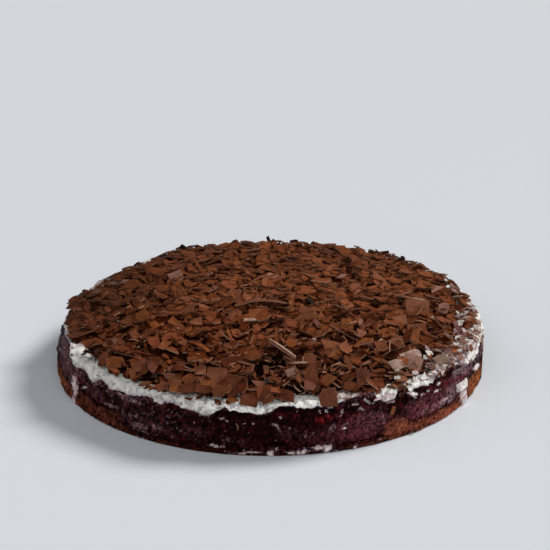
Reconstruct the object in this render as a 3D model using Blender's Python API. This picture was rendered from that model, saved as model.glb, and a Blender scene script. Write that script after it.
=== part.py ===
"""A round poppy seed cake, 26 cm across and about 4 cm high.

From the bottom up: a sponge base, a dark berry filling that has run down the base's side,
a layer of whipped cream with a ragged rim, and a thick bed of chocolate flakes.
The origin is on the underside's centre, +Z is up, and the front faces -Y.
Bearings are in degrees from the front, positive towards +X.
"""

import math
import random

import bmesh
import bpy
from mathutils import Matrix, Vector, noise

MM = 0.001

# Driving sizes.
CAKE_RADIUS = 130 * MM
BASE_HEIGHT = 14.5 * MM
FILLING_TOP = 26 * MM
CREAM_TOP = 31 * MM  # at the rim
CREAM_DOME = 2.5 * MM  # how much higher the cream is in the middle
BED_THICKNESS = 2.4 * MM
LAYER_GAP = 0.3 * MM

# Outlines of the layers' rims.
ROUND_SEGMENTS = 108
FOOT_BEVEL = 1.2 * MM
RUN_THICKNESS = 2.4 * MM  # of the filling that has run down the base's side
RUN_SHOULDER = 1.0 * MM
RUN_EDGE = 5.0  # degrees over which a run's side edge slopes
SLOPE_WIDTH = 5.5 * MM  # of the sloping rim between filling and cream
CREAM_OVERHANG = 0.3 * MM
CREAM_LIP = 1.2 * MM  # height of the cream's lowest, overhanging edge
CREAM_GAP = 0.42 * MM  # to the filling; more than the others, as both faces slope
CREAM_RIM_INSET = 3.2 * MM
CREAM_RIM_ROUND = 1.2 * MM

# Unevenness: how far it reaches and, for lumps, how large they are.
RUN_WAVE = 0.8 * MM
CREAM_WAVE = 0.5 * MM
OUT_OF_ROUND = 0.5 * MM
SIDE_LUMP = 0.7 * MM
SIDE_LUMP_SIZE = 9 * MM
CREAM_LUMP = 1.3 * MM
CREAM_LUMP_SIZE = 8 * MM

# Where the filling has run down the side: first bearing, last bearing, lowest height.
FILLING_RUNS = (
    (-39, 29, 4.0 * MM),
    (37, 56, 6.5 * MM),
    (84, 126, 4.5 * MM),
    (143, 188, 3.5 * MM),
    (203, 231, 7.0 * MM),
    (246, 278, 9.0 * MM),
)
# Where the cream hangs lower on the side (or, below 0, where the filling stands higher):
# bearing, half width in degrees, depth.
CREAM_DRIPS = (
    (-62, 5, 3.0 * MM),
    (-51, 5, 3.4 * MM),
    (-16, 7, 3.2 * MM),
    (-2, 4, 1.2 * MM),
    (6, 9, -3.6 * MM),
    (16, 6, -1.5 * MM),
    (29, 7, 3.0 * MM),
    (38, 4, 2.2 * MM),
    (54, 7, 3.0 * MM),
    (73, 6, 1.8 * MM),
    (98, 8, 3.1 * MM),
    (117, 6, -2.6 * MM),
    (135, 7, 2.7 * MM),
    (159, 6, 1.9 * MM),
    (176, 8, -2.2 * MM),
    (196, 7, 3.3 * MM),
    (221, 6, 2.0 * MM),
    (242, 9, -2.4 * MM),
    (263, 6, 2.8 * MM),
    (283, 6, 1.7 * MM),
)

# The chocolate: a bed of relief as coarse as the flakes, and the largest flakes on it.
BED_RADIUS = 124.5 * MM
BED_RINGS = 14
BED_RELIEF = 0.7 * MM
BED_JITTER = 0.24  # share of the spacing between its points
BED_EDGE = 0.45  # share of its thickness left at the rim
FLAKE_COUNT = 292
FLAKE_FIELD = 126 * MM
FLAKE_SIZE = (9 * MM, 14 * MM)
FLAKE_THICKNESS = 0.8 * MM
FLAKE_CORNERS = (4, 5, 5, 6)
FLAKE_WIDTH = (0.55, 1)  # share of its length
FLAKE_REACH = (0.8, 1)  # share of its half length at each corner
CORNER_JITTER = 0.22  # share of the angle between two corners
FLAKE_TILT = (11, 24)  # degrees
STEEP_TILT = (38, 58)
STEEP_SHARE = 0.06
STEEP_SIZE = 0.6  # share of the others' size
FLAKE_FOOT = (0.5 * MM, 1.2 * MM)  # of a flake's lowest corner over the bed's underside
GOLDEN_ANGLE = math.pi * (3 - math.sqrt(5))
SEED = 26

# Colour, roughness.
SPONGE = ((0.16, 0.055, 0.022), 0.9)
FILLING = ((0.022, 0.005, 0.009), 0.35)
CREAM = ((0.80, 0.79, 0.75), 0.55)
CHOCOLATE = ((0.125, 0.042, 0.02), 0.5)


def clear_scene():
    for obj in list(bpy.data.objects):
        bpy.data.objects.remove(obj)


def material(name, look):
    colour, roughness = look
    made = bpy.data.materials.new(name)
    made.use_nodes = True
    shader = made.node_tree.nodes["Principled BSDF"]
    shader.inputs["Base Color"].default_value = (*colour, 1)
    shader.inputs["Roughness"].default_value = roughness
    shader.inputs["Metallic"].default_value = 0
    return made


def add_object(name, mesh, look):
    obj = bpy.data.objects.new(name, mesh)
    obj.data.materials.append(material(name, look))
    bpy.context.scene.collection.objects.link(obj)
    return obj


def smoothstep(x):
    x = min(1.0, max(0.0, x))
    return x * x * (3 - 2 * x)


def angle_between(bearing, other):
    """Degrees from other to bearing, between -180 and 180."""
    return (bearing - other + 180) % 360 - 180


def at(bearing, radius, height):
    turn = math.radians(bearing)
    return Vector((radius * math.sin(turn), -radius * math.cos(turn), height))


def wave(bearing, waves, layer):
    """Smooth noise round the cake, between about -1 and 1, that joins up with itself."""
    return 1.6 * noise.noise(at(bearing, waves, layer))


def lump(bearing, height, size):
    """Smooth noise over the cake's side, with lumps of about the size."""
    return noise.noise(at(bearing, CAKE_RADIUS, height) / size)


def run_share(bearing, first, last):
    """1 inside a run of filling and 0 outside it, smooth at both edges."""
    middle, half = (first + last) / 2, (last - first) / 2
    inside = half - abs(angle_between(bearing, middle))
    return smoothstep(inside / RUN_EDGE + 0.5)


def filling_bottom(bearing):
    """Height of the line on the side where base meets filling."""
    height = BASE_HEIGHT - RUN_SHOULDER - RUN_WAVE * (1 + wave(bearing, 5, 1))
    for first, last, low in FILLING_RUNS:
        share = run_share(bearing, first, last)
        height += share * (low - height + RUN_WAVE * wave(bearing, 9, 2))
    return height


def cream_bottom(bearing):
    """Height of the line on the side where filling meets cream."""
    height = FILLING_TOP + CREAM_WAVE * wave(bearing, 11, 3)
    for middle, half, depth in CREAM_DRIPS:
        away = abs(angle_between(bearing, middle)) / half
        height -= depth * smoothstep(1 - away)
    return height


def side_radius(bearing, height):
    """Radius of the base's and the filling's lumpy outside."""
    swell = OUT_OF_ROUND * wave(bearing, 1.5, 4)
    return CAKE_RADIUS + swell + SIDE_LUMP * lump(bearing, height, SIDE_LUMP_SIZE)


def cream_radius(bearing, height):
    swell = CREAM_LUMP * lump(bearing, height, CREAM_LUMP_SIZE)
    return CAKE_RADIUS - CREAM_RIM_ROUND + swell


def cream_height(radius):
    """Height of the cream's upper face, a low dome."""
    share = min(1.0, radius / CAKE_RADIUS)
    return CREAM_TOP + CREAM_DOME * (1 - share * share)


def add_quad(mesh, corners):
    """Two triangles, split so that the faces of two layers that meet are parallel."""
    a, b, c, d = corners
    if a.co.xy.length > d.co.xy.length:
        mesh.faces.new((a, b, c))
        mesh.faces.new((a, c, d))
    else:
        mesh.faces.new((a, b, d))
        mesh.faces.new((b, c, d))


def turned_solid(outline_at):
    """A closed mesh from the outline, listed from axis to axis, at each bearing.

    The outline runs from the underside's centre, out and up, to the upper side's centre.
    """
    mesh = bmesh.new()
    step = 360 / ROUND_SEGMENTS
    outlines = [outline_at(step * i) for i in range(ROUND_SEGMENTS)]
    bottom = mesh.verts.new((0, 0, outlines[0][0][1]))
    top = mesh.verts.new((0, 0, outlines[0][-1][1]))
    columns = [
        [mesh.verts.new(at(step * i, *point)) for point in outline[1:-1]]
        for i, outline in enumerate(outlines)
    ]
    for here, there in zip(columns, columns[1:] + columns[:1]):
        mesh.faces.new((bottom, there[0], here[0]))
        for low in range(len(here) - 1):
            add_quad(mesh, (here[low], there[low], there[low + 1], here[low + 1]))
        mesh.faces.new((here[-1], there[-1], top))
    bmesh.ops.recalc_face_normals(mesh, faces=mesh.faces)
    data = bpy.data.meshes.new("layer")
    mesh.to_mesh(data)
    mesh.free()
    return data


def side_points(bearing, low, high, rows, radius_at):
    """Points up the outside between two heights, both ends included."""
    heights = [low + (high - low) * i / rows for i in range(rows + 1)]
    return [(radius_at(bearing, height), height) for height in heights]


def base_outline(bearing):
    shelf = filling_bottom(bearing)
    return [
        (0, 0),
        (CAKE_RADIUS - FOOT_BEVEL, 0),
        *side_points(bearing, FOOT_BEVEL, shelf, 1, side_radius),
        (CAKE_RADIUS - RUN_THICKNESS, shelf + RUN_SHOULDER),
        (CAKE_RADIUS - RUN_THICKNESS, BASE_HEIGHT),
        (0, BASE_HEIGHT),
    ]


def filling_outline(bearing):
    low = filling_bottom(bearing) + LAYER_GAP
    inner = CAKE_RADIUS - RUN_THICKNESS + LAYER_GAP
    underside = BASE_HEIGHT + LAYER_GAP
    return [
        (0, underside),
        (inner, underside),
        (inner, low + RUN_SHOULDER),
        *side_points(bearing, low, cream_bottom(bearing), 3, side_radius),
        (CAKE_RADIUS - SLOPE_WIDTH, FILLING_TOP),
        (0, FILLING_TOP),
    ]


def cream_outline(bearing):
    low = cream_bottom(bearing)
    high = CREAM_TOP - CREAM_RIM_ROUND
    rim = CAKE_RADIUS - CREAM_RIM_INSET
    middle = CAKE_RADIUS / 2
    return [
        (0, FILLING_TOP + CREAM_GAP),
        (CAKE_RADIUS - SLOPE_WIDTH, FILLING_TOP + CREAM_GAP),
        (side_radius(bearing, low) + CREAM_OVERHANG, low + CREAM_GAP),
        *side_points(bearing, low + CREAM_LIP, high, 2, cream_radius),
        (rim, cream_height(rim)),
        (middle, cream_height(middle)),
        (0, cream_height(0)),
    ]


def on_floor(place):
    """The point of the bed's underside, just over the cream, over or under a place."""
    return Vector((place.x, place.y, cream_height(place.xy.length) + LAYER_GAP))


def bed_point(ring, index, draw):
    """A point of the bed's upper relief, on a hexagonal grid of rings with jitter."""
    spacing = BED_RADIUS / BED_RINGS
    around = 6 * ring
    bearing = 360 * index / around if ring else 0
    radius = ring * spacing
    slide = Vector((draw.uniform(-1, 1), draw.uniform(-1, 1), 0)) * spacing * BED_JITTER
    relief = BED_RELIEF * draw.uniform(-1, 1)
    lift = BED_THICKNESS + relief if ring < BED_RINGS else BED_THICKNESS * BED_EDGE
    return at(bearing, radius, cream_height(radius) + LAYER_GAP + lift) + slide


def sector_faces(mesh, inner, outer, ring):
    """Triangles between two neighbouring hexagonal rings of points."""
    for side in range(6):
        for i in range(ring):
            a = inner[(side * (ring - 1) + i) % len(inner)]
            b = outer[side * ring + i]
            c = outer[(side * ring + i + 1) % len(outer)]
            mesh.faces.new((a, b, c))
            if i < ring - 1:
                d = inner[(side * (ring - 1) + i + 1) % len(inner)]
                mesh.faces.new((a, c, d))


def bed_mesh(draw):
    """The bed of flakes, a thin disc whose upper face is relief as coarse as the flakes."""
    mesh = bmesh.new()
    rings = [[mesh.verts.new(bed_point(0, 0, draw))]]
    for ring in range(1, BED_RINGS + 1):
        rings.append(
            [mesh.verts.new(bed_point(ring, i, draw)) for i in range(6 * ring)]
        )
        sector_faces(mesh, rings[-2], rings[-1], ring)
    rim = rings[-1]
    floor = [mesh.verts.new(on_floor(v.co)) for v in rim]
    halfway = [mesh.verts.new(on_floor(v.co / 2)) for v in rim]
    centre = mesh.verts.new(on_floor(Vector()))
    for i in range(len(rim)):
        j = (i + 1) % len(rim)
        mesh.faces.new((rim[i], floor[i], floor[j], rim[j]))
        mesh.faces.new((floor[i], halfway[i], halfway[j], floor[j]))
        mesh.faces.new((halfway[i], centre, halfway[j]))
    bmesh.ops.recalc_face_normals(mesh, faces=mesh.faces)
    data = bpy.data.meshes.new("bed")
    mesh.to_mesh(data)
    mesh.free()
    return data


def flake_mesh(scale, draw):
    """One flake: a flat, sharp-cornered plate with 4 to 6 sides, lying about its origin."""
    mesh = bmesh.new()
    corners = draw.choice(FLAKE_CORNERS)
    half = scale * draw.uniform(*FLAKE_SIZE) / 2
    width = draw.uniform(*FLAKE_WIDTH)
    start = draw.uniform(0, 1)
    ring = []
    for i in range(corners):
        step = i + start + draw.uniform(-CORNER_JITTER, CORNER_JITTER)
        turn = 2 * math.pi * step / corners
        reach = half * draw.uniform(*FLAKE_REACH)
        place = (reach * math.cos(turn), width * reach * math.sin(turn), 0)
        ring.append(mesh.verts.new(place))
    face = mesh.faces.new(ring)
    made = bmesh.ops.extrude_face_region(mesh, geom=[face])
    raised = [v for v in made["geom"] if isinstance(v, bmesh.types.BMVert)]
    bmesh.ops.translate(mesh, verts=raised, vec=(0, 0, FLAKE_THICKNESS))
    bmesh.ops.recalc_face_normals(mesh, faces=mesh.faces)
    data = bpy.data.meshes.new("flake")
    mesh.to_mesh(data)
    mesh.free()
    return data


def placed_flake(number, draw):
    """A tipped flake, its lowest corner set into the bed and clear of the bed's underside."""
    steep = draw.random() < STEEP_SHARE
    mesh = flake_mesh(STEEP_SIZE if steep else 1, draw)
    radius = FLAKE_FIELD * math.sqrt((number + 0.5) / FLAKE_COUNT)
    bearing = math.degrees(number * GOLDEN_ANGLE)
    tilt = draw.uniform(*(STEEP_TILT if steep else FLAKE_TILT))
    spin = Matrix.Rotation(draw.uniform(0, 2 * math.pi), 4, "Z")
    tip = Matrix.Rotation(math.radians(tilt), 4, "X")
    turn = Matrix.Rotation(draw.uniform(0, 2 * math.pi), 4, "Z")
    mesh.transform(Matrix.Translation(at(bearing, radius, 0)) @ turn @ tip @ spin)
    lowest = min(v.co.z - on_floor(v.co).z for v in mesh.vertices)
    mesh.transform(Matrix.Translation((0, 0, draw.uniform(*FLAKE_FOOT) - lowest)))
    return mesh


def keep_largest_body(data):
    """Drops loose scraps and the inner shells of sealed hollows, which fills them."""
    mesh = bmesh.new()
    mesh.from_mesh(data)
    unseen = set(mesh.verts)
    bodies = []
    while unseen:
        body, edge = set(), {unseen.pop()}
        while edge:
            body |= edge
            edge = {e.other_vert(v) for v in edge for e in v.link_edges} - body
        unseen -= body
        bodies.append(body)
    largest = max(bodies, key=len)
    spare = [v for v in mesh.verts if v not in largest]
    bmesh.ops.delete(mesh, geom=spare, context="VERTS")
    bmesh.ops.triangulate(mesh, faces=mesh.faces)
    mesh.to_mesh(data)
    mesh.free()


def make_chocolate():
    draw = random.Random(SEED)
    bed = add_object("chocolate_flakes", bed_mesh(draw), CHOCOLATE)
    flakes = bpy.data.collections.new("flakes")
    bpy.context.scene.collection.children.link(flakes)
    for number in range(FLAKE_COUNT):
        flake = bpy.data.objects.new("flake", placed_flake(number, draw))
        flakes.objects.link(flake)
    union = bed.modifiers.new("flakes", "BOOLEAN")
    union.operation = "UNION"
    union.solver = "EXACT"
    union.operand_type = "COLLECTION"
    union.collection = flakes
    with bpy.context.temp_override(object=bed):
        bpy.ops.object.modifier_apply(modifier=union.name)
    for obj in list(flakes.objects):
        bpy.data.objects.remove(obj)
    bpy.data.collections.remove(flakes)
    keep_largest_body(bed.data)


def make_layers():
    for name, outline, look in (
        ("sponge_base", base_outline, SPONGE),
        ("berry_filling", filling_outline, FILLING),
        ("cream_layer", cream_outline, CREAM),
    ):
        obj = add_object(name, turned_solid(outline), look)
        obj.data.shade_smooth()
        obj.data.set_sharp_from_angle(angle=math.radians(40))


def main():
    clear_scene()
    make_layers()
    make_chocolate()


main()
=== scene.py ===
"""The looks of a poppy seed cake: a crumbly sponge, a granular berry filling that has run down the
side, clotted whipped cream with a ragged rim, and a deep scatter of chocolate flakes.

Lengths are in metres. The origin is on the underside's centre, +Z is up and the front faces -Y.
Bearings are in degrees from the front, positive towards +X.
"""

import math
import random

import bpy
import numpy as np
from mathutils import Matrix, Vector, noise

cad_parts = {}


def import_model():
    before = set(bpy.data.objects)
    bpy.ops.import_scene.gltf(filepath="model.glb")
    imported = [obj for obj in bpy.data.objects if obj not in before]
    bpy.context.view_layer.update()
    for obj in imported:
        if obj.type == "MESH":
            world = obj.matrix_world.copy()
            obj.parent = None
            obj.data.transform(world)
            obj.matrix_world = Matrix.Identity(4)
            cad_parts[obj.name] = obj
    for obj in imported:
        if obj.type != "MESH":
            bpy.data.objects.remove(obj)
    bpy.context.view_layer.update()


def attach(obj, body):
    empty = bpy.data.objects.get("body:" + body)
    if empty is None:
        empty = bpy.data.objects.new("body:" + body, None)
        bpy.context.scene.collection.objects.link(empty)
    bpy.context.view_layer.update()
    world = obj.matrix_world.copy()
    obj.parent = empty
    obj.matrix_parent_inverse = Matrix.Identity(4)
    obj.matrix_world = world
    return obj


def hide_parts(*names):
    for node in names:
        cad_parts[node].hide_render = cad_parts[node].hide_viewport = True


MM = 0.001

# The layers' sizes and rims, as the solids have them.
CAKE_RADIUS = 130 * MM
BASE_HEIGHT = 14.5 * MM
FILLING_TOP = 26 * MM
CREAM_TOP = 31 * MM
CREAM_DOME = 2.5 * MM
FOOT_BEVEL = 1.2 * MM
RUN_THICKNESS = 2.4 * MM
RUN_SHOULDER = 1.0 * MM
RUN_EDGE = 5.0  # degrees
SLOPE_WIDTH = 5.5 * MM
CREAM_RIM_ROUND = 1.2 * MM
RUN_WAVE = 0.8 * MM
CREAM_WAVE = 0.5 * MM
OUT_OF_ROUND = 0.5 * MM
SIDE_LUMP = 0.7 * MM
SIDE_LUMP_SIZE = 9 * MM
CREAM_LUMP = 1.3 * MM
CREAM_LUMP_SIZE = 8 * MM

# Where the filling has run down the side: first bearing, last bearing, lowest height.
FILLING_RUNS = (
    (-39, 29, 4.0 * MM), (37, 56, 6.5 * MM), (84, 126, 4.5 * MM), (143, 188, 3.5 * MM),
    (203, 231, 7.0 * MM), (246, 278, 9.0 * MM),
)
# Where the cream hangs lower on the side (or, below 0, where the filling stands higher):
# bearing, half width in degrees, depth.
CREAM_DRIPS = (
    (-78, 14, -4.6 * MM), (-62, 5, 3.0 * MM), (-51, 5, 3.4 * MM), (-16, 7, 3.2 * MM),
    (-2, 4, 1.2 * MM), (6, 9, -3.6 * MM), (16, 6, -1.5 * MM), (29, 7, 3.0 * MM), (38, 4, 2.2 * MM),
    (54, 7, 3.0 * MM), (73, 6, 1.8 * MM), (98, 8, 3.1 * MM), (117, 6, -2.6 * MM),
    (135, 7, 2.7 * MM), (159, 6, 1.9 * MM), (176, 8, -2.2 * MM), (196, 7, 3.3 * MM),
    (221, 6, 2.0 * MM), (242, 9, -2.4 * MM), (263, 6, 2.8 * MM), (283, 6, 1.7 * MM),
)

# Where the cream, and the filling under it, stand back from the side at the far left: bearing, half
# width in degrees, depth, and how steeply it comes to that depth.
SET_BACK = ((-88, 26, 4.6 * MM, 3.5), (-119, 24, 5.6 * MM, 2.5))
SET_BACK_HEIGHT = 14 * MM  # of the filling's upper part, which leans back with the cream
SET_BACK_CURVE = 0.85

COLUMNS = 1400  # of each layer's mesh round the cake
SEED = 7


# --- Small helpers --------------------------------------------------------------------------------


def smoothstep(x):
    x = np.clip(x, 0.0, 1.0)
    return x * x * (3 - 2 * x)


def rise(value, start, width):
    """0 up to the start, 1 from a width past it, and smooth between them."""
    return smoothstep((value - start) / width)


def angle_between(bearing, other):
    """Degrees from other to bearing, between -180 and 180."""
    return (bearing - other + 180) % 360 - 180


def at(bearing, radius, height):
    turn = np.radians(bearing)
    return np.stack(
        np.broadcast_arrays(radius * np.sin(turn), -radius * np.cos(turn), height), -1
    )


def bearing_of(points):
    return np.degrees(np.arctan2(points[..., 0], -points[..., 1]))


def leftward(bearings, start, width):
    """0 to the right of a bearing, 1 from a width to its left on."""
    return smoothstep((start - angle_between(bearings, 0)) / width)


def backward(bearings, start, width):
    """0 in front of a bearing on either side, 1 from a width behind it on."""
    return rise(np.abs(angle_between(bearings, 0)), start, width)


def wave(bearing, waves, layer):
    """Smooth noise round the cake, between about -1 and 1, that joins up with itself."""
    return 1.6 * noise.noise(Vector(at(bearing, waves, layer)))


def lump(bearing, height, size):
    return noise.noise(Vector(at(bearing, CAKE_RADIUS, height) / size))


# --- The layers' rims, the same functions as the solids' ------------------------------------------


def run_share(bearing, first, last):
    middle, half = (first + last) / 2, (last - first) / 2
    inside = half - abs(angle_between(bearing, middle))
    return smoothstep(inside / RUN_EDGE + 0.5)


def filling_bottom(bearing):
    height = BASE_HEIGHT - RUN_SHOULDER - RUN_WAVE * (1 + wave(bearing, 5, 1))
    for first, last, low in FILLING_RUNS:
        share = run_share(bearing, first, last)
        height += share * (low - height + RUN_WAVE * wave(bearing, 9, 2))
    return height


def cream_bottom(bearing):
    height = FILLING_TOP + CREAM_WAVE * wave(bearing, 11, 3)
    for middle, half, depth in CREAM_DRIPS:
        away = abs(angle_between(bearing, middle)) / half
        height -= depth * smoothstep(1 - away)
    return height


def side_radius(bearing, height):
    swell = OUT_OF_ROUND * wave(bearing, 1.5, 4)
    return CAKE_RADIUS + swell + SIDE_LUMP * lump(bearing, height, SIDE_LUMP_SIZE)


def cream_radius(bearing, height):
    swell = CREAM_LUMP * lump(bearing, height, CREAM_LUMP_SIZE)
    return CAKE_RADIUS - CREAM_RIM_ROUND + swell - cream_recess(bearing)


def cream_recess(bearing):
    """How far the cream stands back from the side."""
    recess = 0.0
    for middle, half, depth, steep in SET_BACK:
        away = np.abs(angle_between(bearing, middle)) / half
        recess = np.maximum(recess, depth * smoothstep(steep * (1 - away)))
    return recess


def cream_height(radius):
    share = np.minimum(1.0, radius / CAKE_RADIUS)
    return CREAM_TOP + CREAM_DOME * (1 - share * share)


# --- Noise over whole arrays of points ------------------------------------------------------------


def cell_numbers(corner, salt):
    """Three random numbers from 0 to 1 for each whole-numbered corner, always the same ones."""
    x, y, z = (corner[..., i].astype(np.int64) for i in range(3))
    mixed = (x * 73856093) ^ (y * 19349663) ^ (z * 83492791) ^ (salt * 2654435761)
    mixed = (mixed ^ (mixed >> 13)) * 1274126177
    table = np.random.default_rng(salt).random((4096, 3))
    return table[(mixed ^ (mixed >> 16)) & 4095]


def rough(points, size, salt=1):
    """Gradient noise from about -1 to 1, with lumps of about the size."""
    places = points / size
    low = np.floor(places)
    part = places - low
    ease = part * part * part * (part * (part * 6 - 15) + 10)
    total = 0
    for step in np.ndindex(2, 2, 2):
        slope = cell_numbers(low + step, salt) * 2 - 1
        value = (slope * (part - step)).sum(-1)
        share = np.where(step, ease, 1 - ease).prod(-1)
        total = total + share * value
    return total * 1.6


def grains(points, size, salt=1):
    """Distance to the nearest grain's centre, in grain sizes, and a number of its own."""
    places = points / size
    low = np.floor(places)
    nearest = np.full(places.shape[:-1], 9.0)
    own = np.zeros(places.shape[:-1])
    for step in np.ndindex(3, 3, 3):
        corner = low + step - 1
        numbers = cell_numbers(corner, salt)
        away = np.linalg.norm(corner + numbers - places, axis=-1)
        closer = away < nearest
        nearest = np.where(closer, away, nearest)
        own = np.where(closer, numbers[..., 0] * 7.13 % 1, own)
    return nearest, own


def patches(points, bearings, heights, marks, salt=51):
    """How strongly the listed patches with frayed edges cover each point, from 0 to 1.

    A mark is a bearing, a height in mm, its half widths in degrees and mm, how many degrees it
    slants for each mm of height, and its strength.
    """
    sideways = rough(points, 3 * MM, salt)
    upward = rough(points, 3 * MM, salt + 1)
    fine = rough(points, 1.3 * MM, salt + 2)
    up = heights / MM
    cover = np.zeros(np.broadcast(bearings, heights).shape)
    for bearing, height, wide, high, slant, strength in marks:
        turn = angle_between(bearings, bearing) - slant * (up - height)
        near = (np.abs(turn) < 2 * wide) & (np.abs(up - height) < 2 * high)
        across = (turn[near] + min(0.5, 0.4 * wide) * sideways[near]) / wide
        along = (up[near] - height + min(1.2, 0.4 * high) * upward[near]) / high
        inside = 1.2 - np.hypot(across, along) + 0.45 * fine[near]
        cover[near] = np.maximum(cover[near], strength * smoothstep(inside / 0.6))
    return cover


def blend(share, below, above):
    """Colours mixed by a share for each point; either may be one colour or one for each."""
    share = np.clip(share, 0, 1)[..., None]
    return (1 - share) * np.asarray(below) + share * np.asarray(above)


class Skin:
    """A layer's outer points, with a bearing and a height for each to place its marks by."""

    def __init__(self, points, bearings=None, heights=None):
        self.points = points
        self.bearings = bearing_of(points) if bearings is None else bearings
        self.heights = points[..., 2] if heights is None else heights

    def rough(self, size, salt):
        """Noise with lumps of about that many millimetres."""
        return rough(self.points, size * MM, salt)

    def marked(self, marks, salt=51):
        return patches(self.points, self.bearings, self.heights, marks, salt)


# --- Meshes ---------------------------------------------------------------------------------------


def add_piece(name, points, faces, looks, replaces=(), smooth=180):
    """A mesh that rides on the cake, with its materials and replaced nodes."""
    data = bpy.data.meshes.new(name)
    data.from_pydata(points, [], faces)
    data.validate()
    data.shade_smooth()
    if smooth < 180:
        data.set_sharp_from_angle(angle=math.radians(smooth))
    for look in looks:
        data.materials.append(look)
    piece = bpy.data.objects.new(name, data)
    bpy.context.scene.collection.objects.link(piece)
    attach(piece, "root")
    if replaces:
        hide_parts(*replaces)
    return piece


def paint(piece, name, values):
    """Stores one number for each of the piece's points, for its material to read."""
    attribute = piece.data.attributes.new(name, "FLOAT", "POINT")
    attribute.data.foreach_set("value", np.asarray(values, np.float32).ravel())


def tint(piece, colours):
    """Stores a colour for each of the piece's points, for its material to read.

    Points beyond the colours, which are a layer's two on the axis, take the first ones.
    """
    attribute = piece.data.attributes.new("tint", "FLOAT_COLOR", "POINT")
    colours = colours.reshape(-1, 3)
    missing = len(piece.data.vertices) - len(colours)
    whole = np.concatenate([colours, colours[:missing]])
    whole = np.column_stack([whole, np.ones(len(whole))])
    attribute.data.foreach_set("color", whole.astype(np.float32).ravel())


def turned_faces(columns, rows):
    """Quads of a grid that closes round the cake, and the fans that close it at the axis.

    Points are numbered column by column; the two axis points come last.
    """
    foot, peak = columns * rows, columns * rows + 1
    faces = []
    for i in range(columns):
        here, there = i * rows, (i + 1) % columns * rows
        faces.append((foot, there, here))
        faces += [(here + j, there + j, there + j + 1, here + j + 1) for j in range(rows - 1)]
        faces.append((here + rows - 1, there + rows - 1, peak))
    return faces


def outward(radii, heights):
    """Each profile point's outward direction, as its share along radius and along height."""
    run = np.gradient(radii, axis=1)
    climb = np.gradient(heights, axis=1)
    length = np.maximum(np.hypot(run, climb), 1e-9)
    return climb / length, -run / length


def ladder(start, end, rows):
    """Values from each column's start to its end, both included."""
    return start + (end - start) * np.linspace(0, 1, rows)


def profile(*parts):
    """A layer's radii and heights, from under it round its side to its top, for each column.

    A part is a pair of them: numbers, rows that all columns share, or whole grids.
    """
    columns = np.zeros((COLUMNS, 1))
    pairs = [np.broadcast_arrays(columns, *part)[1:] for part in parts]
    return [np.hstack(half) for half in zip(*pairs)]


def radii_on(bearings, heights, radius_at):
    """What a function of one bearing and height gives over whole arrays of them."""
    both = np.broadcast(bearings, heights)
    return np.array([radius_at(b, z) for b, z in both]).reshape(both.shape)


def turned_piece(name, bearings, shape, relief, look, node, flat_rows):
    """A layer: its profile at each bearing, pushed out by its relief."""
    radii, heights = shape
    along, up = outward(radii, heights)
    push = relief(at(bearings, radii, heights))
    push[:, :flat_rows] = 0
    grid = at(bearings, radii + along * push, heights + up * push)
    ends = [(0, 0, heights[0, 0]), (0, 0, heights[0, -1])]
    data = np.concatenate([grid.reshape(-1, 3), ends])
    faces = turned_faces(*radii.shape)
    piece = add_piece(name, data.tolist(), faces, [look], (node,))
    return piece, Skin(grid, bearings + 0 * radii, heights), push


# --- Materials ------------------------------------------------------------------------------------


class Look:
    """A Principled material under construction, with short ways to add nodes."""

    def __init__(self, name, roughness, specular=0.5):
        self.material = bpy.data.materials.new(name)
        self.material.use_nodes = True
        self.tree = self.material.node_tree
        self.shader = self.tree.nodes["Principled BSDF"]
        self.shader.inputs["Roughness"].default_value = roughness
        self.shader.inputs["Specular IOR Level"].default_value = specular
        self.place = self.tree.nodes.new("ShaderNodeTexCoord").outputs["Object"]

    def node(self, kind, inputs=None, **settings):
        made = self.tree.nodes.new(kind)
        for key, value in settings.items():
            setattr(made, key, value)
        for key, value in (inputs or {}).items():
            if isinstance(value, bpy.types.NodeSocket):
                self.tree.links.new(value, made.inputs[key])
            else:
                made.inputs[key].default_value = value
        return made

    def noise(self, size, detail=3.0, roughness=0.55):
        """Noise from 0 to 1 with features of about the size."""
        inputs = {"Vector": self.place, "Scale": 0.6 / size}
        inputs.update({"Detail": detail, "Roughness": roughness})
        return self.node("ShaderNodeTexNoise", inputs).outputs["Fac"]

    def painted(self, name, output="Fac"):
        """Reads what is stored for each of the piece's points."""
        return self.node("ShaderNodeAttribute", attribute_name=name).outputs[output]

    def scaled(self, colour, factor):
        """The colour times a number that varies over the surface."""
        inputs = {0: colour, "Scale": factor}
        return self.node("ShaderNodeVectorMath", inputs, operation="SCALE").outputs[0]

    def ramp(self, value, low, high, start, end):
        """Maps low..high of a value smoothly to start..end, and no further."""
        inputs = dict(enumerate((value, low, high, start, end)))
        kind = "ShaderNodeMapRange"
        return self.node(kind, inputs, interpolation_type="SMOOTHSTEP").outputs[0]

    def mix(self, share, below, above):
        inputs = {0: share, 6: below, 7: (*above, 1)}
        return self.node("ShaderNodeMix", inputs, data_type="RGBA").outputs[2]

    def feed(self, name, socket):
        """Connects one of the shader's inputs."""
        self.tree.links.new(socket, self.shader.inputs[name])

    def bump(self, height, depth):
        """Relief finer than the mesh; depth is its height in metres."""
        inputs = {"Height": height, "Distance": depth}
        self.feed("Normal", self.node("ShaderNodeBump", inputs).outputs["Normal"])


def side_look(name, roughness, specular, size, darkest, lightest, depth):
    """A painted layer whose tint varies between two factors in grains of about the size."""
    look = Look(name, roughness, specular)
    grain = look.noise(size, 5, 0.6)
    factor = look.ramp(grain, 0.34, 0.68, darkest, lightest)
    look.feed("Base Color", look.scaled(look.painted("tint", "Color"), factor))
    look.bump(grain, depth)
    return look


def sponge_look():
    return side_look("sponge_crumb", 0.85, 0.015, 1.3 * MM, 0.55, 1.5, 0.5 * MM).material


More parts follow.
